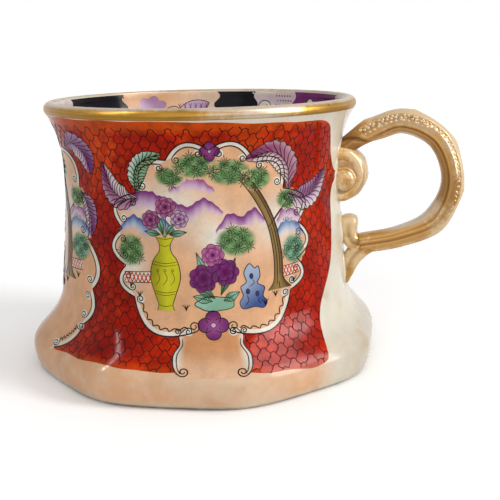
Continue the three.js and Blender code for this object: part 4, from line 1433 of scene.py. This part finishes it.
handle_piece("handle_grip", loop_rings, loop_hollow_shade, loop_wear, "handle_loop", bare=loop_bare)


def in_frame(flat):
    """Points or directions of the handle's plane, in the frame."""
    return points_of(flat[:, 0], np.zeros(len(flat)), flat[:, 1])


def scale_rows():
    """Places, directions and reaches for rows of small scales on both flanks of the loop."""
    along, draw, rows = headings(loop_line), np.random.default_rng(SCALE_SEED), []
    spots, outs, aheads = in_frame(loop_line), in_frame(left_of(along)), in_frame(along)
    for n, degrees in enumerate(SCALE_ROWS):
        first = SCALED_FROM + n * 0.5 + (n % 2) * SCALE_PITCH / 2
        for side in np.array([(0, 1.0, 0), (0, -1.0, 0)]):
            for run in np.arange(first, SCALED_UNTIL, SCALE_PITCH):
                slip, turn, swell = draw.uniform(-1, 1, 3)
                i = int((run + SCALE_SLIP * slip) / LOOP_STEP)
                a = math.radians(min(degrees + SCALE_TURN * turn, 89))
                thick, depth = loop_thick[i], loop_depth[i]
                on = outs[i] * thick * math.cos(a) ** 0.8 + side * depth * math.sin(a) ** 0.8
                normal = unit(outs[i] * math.cos(a) / thick + side * math.sin(a) / depth)
                size = 1 - 0.75 * smooth(run, 34, 54) - 0.25 * smooth(run, SCALES_FADE, SCALED_UNTIL)
                place = spots[i] + on - normal * (1.0 + 0.5 * (1 - size))
                ahead = unit(aheads[i] + normal * 0.15)
                rows.append((place, normal, ahead, size * (1 + SCALE_SWELL * swell)))
    places, normals, lengths, sizes = (np.array(v) for v in zip(*rows))
    heights = unit(normals - lengths * np.sum(normals * lengths, axis=1)[:, None])
    return places, heights, lengths, points_of(0.75 + 0.25 * sizes, 0.6 + 0.4 * sizes, 0.8 + 0.2 * sizes)


balls = bead_tree("handle_scale_rows", "ball", 8, 5)
scales = laid_beads("handle_scales", balls, *scale_rows(), SCALE_SIZE, lustre)
dress(scales, SCALE_WEAR, lustre, "lustre")

# The upper scroll winds in from under the root, broad at first, about an eye that stands out at both ends.
SCROLL_MIDDLE, EYE_MIDDLE = np.array([57.9, 78.8]), np.array([60.1, 76.8])
WIND_START, WIND_TURN, WIND_POINTS = 104, -422, 170
ROLL_DEPTH, ROLL_FLARE, ROLL_SIDES, ROLL_POWER = 7.9, 0.9, 48, 2.6
# Half the roll's thickness, and how far out its skin lies, by the share of its length.
WIND_HALVES = [(0, 3.9), (0.25, 3.6), (0.46, 2.7), (0.65, 1.9), (1, 1.2)]
WIND_REACHES = [(0, 11.9), (0.25, 11.9), (0.46, 11.2), (0.6, 9.0), (0.75, 6.7), (1, 5.7)]
wind_share = np.linspace(0, 1, WIND_POINTS)
wind = np.radians(WIND_START + WIND_TURN * wind_share)
wind_half = read_off(wind_share, WIND_HALVES)
wind_reach = read_off(wind_share, WIND_REACHES) - wind_half
wind_middle = mix(SCROLL_MIDDLE, EYE_MIDDLE, smooth(wind_share, 0.3, 0.7))
wind_depth = ROLL_DEPTH + ROLL_FLARE * smooth(wind_share, 0.4, 0.9)
roll_line = wind_middle + wind_reach[:, None] * way_at(wind)


def roll_press(spine):
    notches = 0.14 * (1 + np.sin(wind * 9))[:, None] * fall(spine, 30, 80)
    return notches + 0.7 * hump(spine, 60, 10) * smooth(wind_share, 0.1, 0.3)[:, None]


roll_rings, roll_sunk = swept(roll_line, wind_half, wind_depth, roll_press, ROLL_SIDES, ROLL_POWER)
# Painted shade in the roll's notches and groove.
handle_piece("upper_roll", roll_rings, roll_sunk - 0.3, 0.6, "upper_scroll")

# Half the eye's section: a radius, and the way out from the handle's plane.
EYE_PROFILE = [
    (8.2, 0.0), (8.2, 6.6), (7.8, 7.3), (5.4, 7.6), (4.6, 8.0), (4.2, 8.9), (3.4, 9.9), (2.0, 10.5),
    (0.6, 10.7),
]
EYE_SIDES = 48
eye_side = through(EYE_PROFILE, 5)
eye_line = np.vstack([(eye_side * (1, -1))[::-1], eye_side[1:]])
turn = round_angles(EYE_SIDES)
eye_x, eye_z = np.outer(eye_line[:, 0], np.cos(turn)), np.outer(eye_line[:, 0], -np.sin(turn))
eye_out = np.repeat(eye_line[:, 1:], EYE_SIDES, axis=1)
eye = points_of(eye_x + EYE_MIDDLE[0], eye_out, eye_z + EYE_MIDDLE[1])
# Painted shade in the groove round the eye.
handle_piece("upper_eye", eye, 0.7 * hump(np.abs(eye_out), 7.7, 0.4), 0.8)


MEMBER_SIDES, RIB_DEPTH, RIB_REACH = 40, 0.7, 13


def member(name, line, thick, depth, power, node, wear):
    """A swept member of the handle, with a sunk line along each flank."""
    line = even(through(line, 24), DRAW_STEP)
    share = np.linspace(0, 1, len(line))
    rib = RIB_DEPTH * np.sin(math.pi * share)[:, None]
    halves = (read_off(share, rows) / 2 for rows in (thick, depth))
    press = lambda spine: rib * hump(spine, 90, RIB_REACH)
    rings, sunk = swept(line, *halves, press, MEMBER_SIDES, power)
    joint = smooth(share, 0.1, 0.45)[:, None]
    # Painted shade in the sunk lines and where the member joins the bar.
    return handle_piece(name, rings, sunk - 0.15 + 0.6 * (1 - joint), wear * joint, node)


member(
    "lower_roll",
    line=[(70.5, 49.0), (66.0, 48.6), (62.8, 50.6), (61.7, 54.8), (61.7, 58.6), (61.6, 60.9)],
    thick=[(0, 5.0), (0.3, 7.2), (0.6, 7.0), (0.84, 8.0), (0.95, 7.2), (1, 4.2)],
    depth=[(0, 5.6), (0.35, 8.6), (0.6, 9.0), (0.84, 9.6), (0.95, 8.6), (1, 5.6)],
    power=2.6, node="lower_scroll", wear=0.65,
)
member(
    "tail",
    line=[(74.5, 49.7), (66.5, 46.1), (62.6, 41.2), (60.5, 31.6)],
    thick=[(0, 4.0), (0.2, 6.6), (0.4, 8.2), (0.6, 7.4), (0.8, 5.2), (1, 2.0)],
    depth=[(0, 4.6), (0.2, 7.6), (0.4, 8.4), (0.6, 7.0), (0.8, 4.6), (1, 2.0)],
    power=2.4, node="tail_leaf", wear=0.45,
)

# Slip where the handle meets the wall

# Rings of a swell, from its edge in: share of its width, and share of its rise.
SWELL_RINGS = ((1, -0.4), (1, 0.01), (0.9, 0.3), (0.75, 0.55), (0.55, 0.8), (0.3, 1.0))


def slip_swell(name, height, half_width, half_height, rise, node):
    """A low swell of glazed slip on the wall, round one member's foot."""
    middle = np.interp(height, wall_skin.section[:, 1], wall_skin.run)
    x, y = way_at(round_angles(64)).T
    rings = []
    for size, lift in SWELL_RINGS:
        along = middle + half_height * size * y
        rings.append(wall_skin.at(half_width * size * x / UNROLL_RADIUS, along, rise * lift))
    return new_piece(name, *loft(rings), GLAZE, glaze, "slip", node)


# Each swell's height on the wall, half width, half height and rise, between its piece and its node.
for swell in (
    ("slip_at_root", 88.0, 8.2, 5.6, 0.9, "slip_bed_root"),
    ("slip_at_upper_roll", 77.5, 12.0, 11.6, 0.9, "slip_bed_upper_scroll"),
    ("slip_at_lower_roll", 55.4, 6.6, 7.4, 0.9, "slip_bed_lower_scroll"),
    ("slip_at_tail", 38.0, 5.0, 8.0, 0.7, "slip_bed_tail"),
):
    slip_swell(*swell)

# Stage, lights and camera

FLOOR_REACH, FLOOR_ROUGHNESS = 6.0, 0.95
PLAIN_LEVEL, WHITE_LEVEL = 0.3, 1.0
FLOOR_OWN, FLOOR_SEEN, FLOOR_GLOW = np.full(3, 0.8), np.ones(3), 0.39
CONTACT_REACH = 0.035  # how far the foot dims the floor round it


def seen_directly(tree):
    """1 where the viewer sees a surface itself, or in a reflection or through glass."""
    path = tree.nodes.new("ShaderNodeLightPath").outputs
    seen = maths(tree, "MAXIMUM", path["Is Camera Ray"], path["Is Glossy Ray"])
    return maths(tree, "MAXIMUM", seen, path["Is Transmission Ray"])


def paper_material():
    """White paper that glows a little where it is seen, less so close to the foot."""
    paper = bpy.data.materials.new("paper_floor")
    paper.use_nodes = True
    tree = paper.node_tree
    shown = seen_directly(tree)
    open_sky = tree.nodes.new("ShaderNodeAmbientOcclusion")
    open_sky.inputs["Distance"].default_value = CONTACT_REACH
    glow = maths(tree, "MULTIPLY", open_sky.outputs["AO"], FLOOR_GLOW)
    feed_all(tree, tree.nodes["Principled BSDF"], {
        "Roughness": FLOOR_ROUGHNESS, "Specular IOR Level": 0.0, "Emission Color": np.ones(3),
        "Base Color": blend(tree, shown, FLOOR_OWN, FLOOR_SEEN),
        "Emission Strength": maths(tree, "MULTIPLY", shown, glow),
    })
    return paper


floor_mesh = bpy.data.meshes.new("floor")
corners = [(x * FLOOR_REACH, y * FLOOR_REACH, 0) for x, y in ((-1, -1), (1, -1), (1, 1), (-1, 1))]
floor_mesh.from_pydata(corners, [], [(0, 1, 2, 3)])
floor_obj = bpy.data.objects.new("floor", floor_mesh)
scene.collection.objects.link(floor_obj)
floor_mesh.materials.append(paper_material())

world = bpy.data.worlds.new("studio")
scene.world = world
world.use_nodes = True
world_level = ranged(world.node_tree, seen_directly(world.node_tree), 0.0, 1.0, PLAIN_LEVEL, WHITE_LEVEL)
feed_all(world.node_tree, world.node_tree.nodes["Background"], {"Color": np.ones(3), "Strength": world_level})

LAMP_AIM, SUN_DISTANCE, SOFTBOX_DISTANCE = Vector((0, 0, 0.05)), 1.0, 0.9


def place_lamp(name, lamp, azimuth, elevation, distance):
    a, e = math.radians(azimuth), math.radians(elevation)
    way = Vector((math.sin(a) * math.cos(e), -math.cos(a) * math.cos(e), math.sin(e)))
    obj = bpy.data.objects.new(name, lamp)
    obj.location = LAMP_AIM + way * distance
    obj.rotation_mode = "QUATERNION"
    obj.rotation_quaternion = way.to_track_quat("Z", "Y")
    scene.collection.objects.link(obj)
    return obj


def sun(name, azimuth, elevation, strength, spread):
    lamp = bpy.data.lights.new(name, "SUN")
    lamp.energy, lamp.angle = strength, math.radians(spread)
    place_lamp(name, lamp, azimuth, elevation, SUN_DISTANCE)


def softbox(name, azimuth, elevation, width, height, power):
    """A lamp that shows only as a reflection in the glaze."""
    lamp = bpy.data.lights.new(name, "AREA")
    lamp.shape, lamp.size, lamp.size_y, lamp.energy = "RECTANGLE", width, height, power
    place_lamp(name, lamp, azimuth, elevation, SOFTBOX_DISTANCE).visible_diffuse = False


sun("key", azimuth=82, elevation=30, strength=1.5, spread=20)
sun("front", azimuth=6, elevation=16, strength=1.2, spread=60)
softbox("strip_left", azimuth=-58, elevation=40, width=0.04, height=0.5, power=4.0)
softbox("window_right", azimuth=76, elevation=28, width=0.42, height=0.95, power=22.0)

# The camera stands a little to the right of square on to the front panel, above the rim.
CAMERA_AZIMUTH, CAMERA_DISTANCE, CAMERA_HEIGHT = math.radians(11.7), 383.4, 133.3
CAMERA_YAW, CAMERA_PITCH, CAMERA_ROLL = 0.0504, 0.2286, -0.0187
FOCAL_PIXELS, FRAME_PIXELS, SENSOR_WIDTH, CLIP_START = 907.93, 500.0, 36.0, 0.01
camera = bpy.data.cameras.new("camera")
camera.sensor_width, camera.clip_start = SENSOR_WIDTH, CLIP_START
camera.lens = FOCAL_PIXELS / FRAME_PIXELS * SENSOR_WIDTH
camera_obj = bpy.data.objects.new("camera", camera)
scene.collection.objects.link(camera_obj)
round_mug = Matrix.Rotation(CAMERA_AZIMUTH, 4, "Z")
stand = Matrix.Translation(Vector((0, -CAMERA_DISTANCE, CAMERA_HEIGHT)) * MM)
aim = Matrix.Rotation(-CAMERA_YAW, 4, "Z") @ Matrix.Rotation(math.pi / 2 - CAMERA_PITCH, 4, "X")
camera_obj.matrix_world = round_mug @ stand @ aim @ Matrix.Rotation(CAMERA_ROLL, 4, "Z")
scene.camera = camera_obj
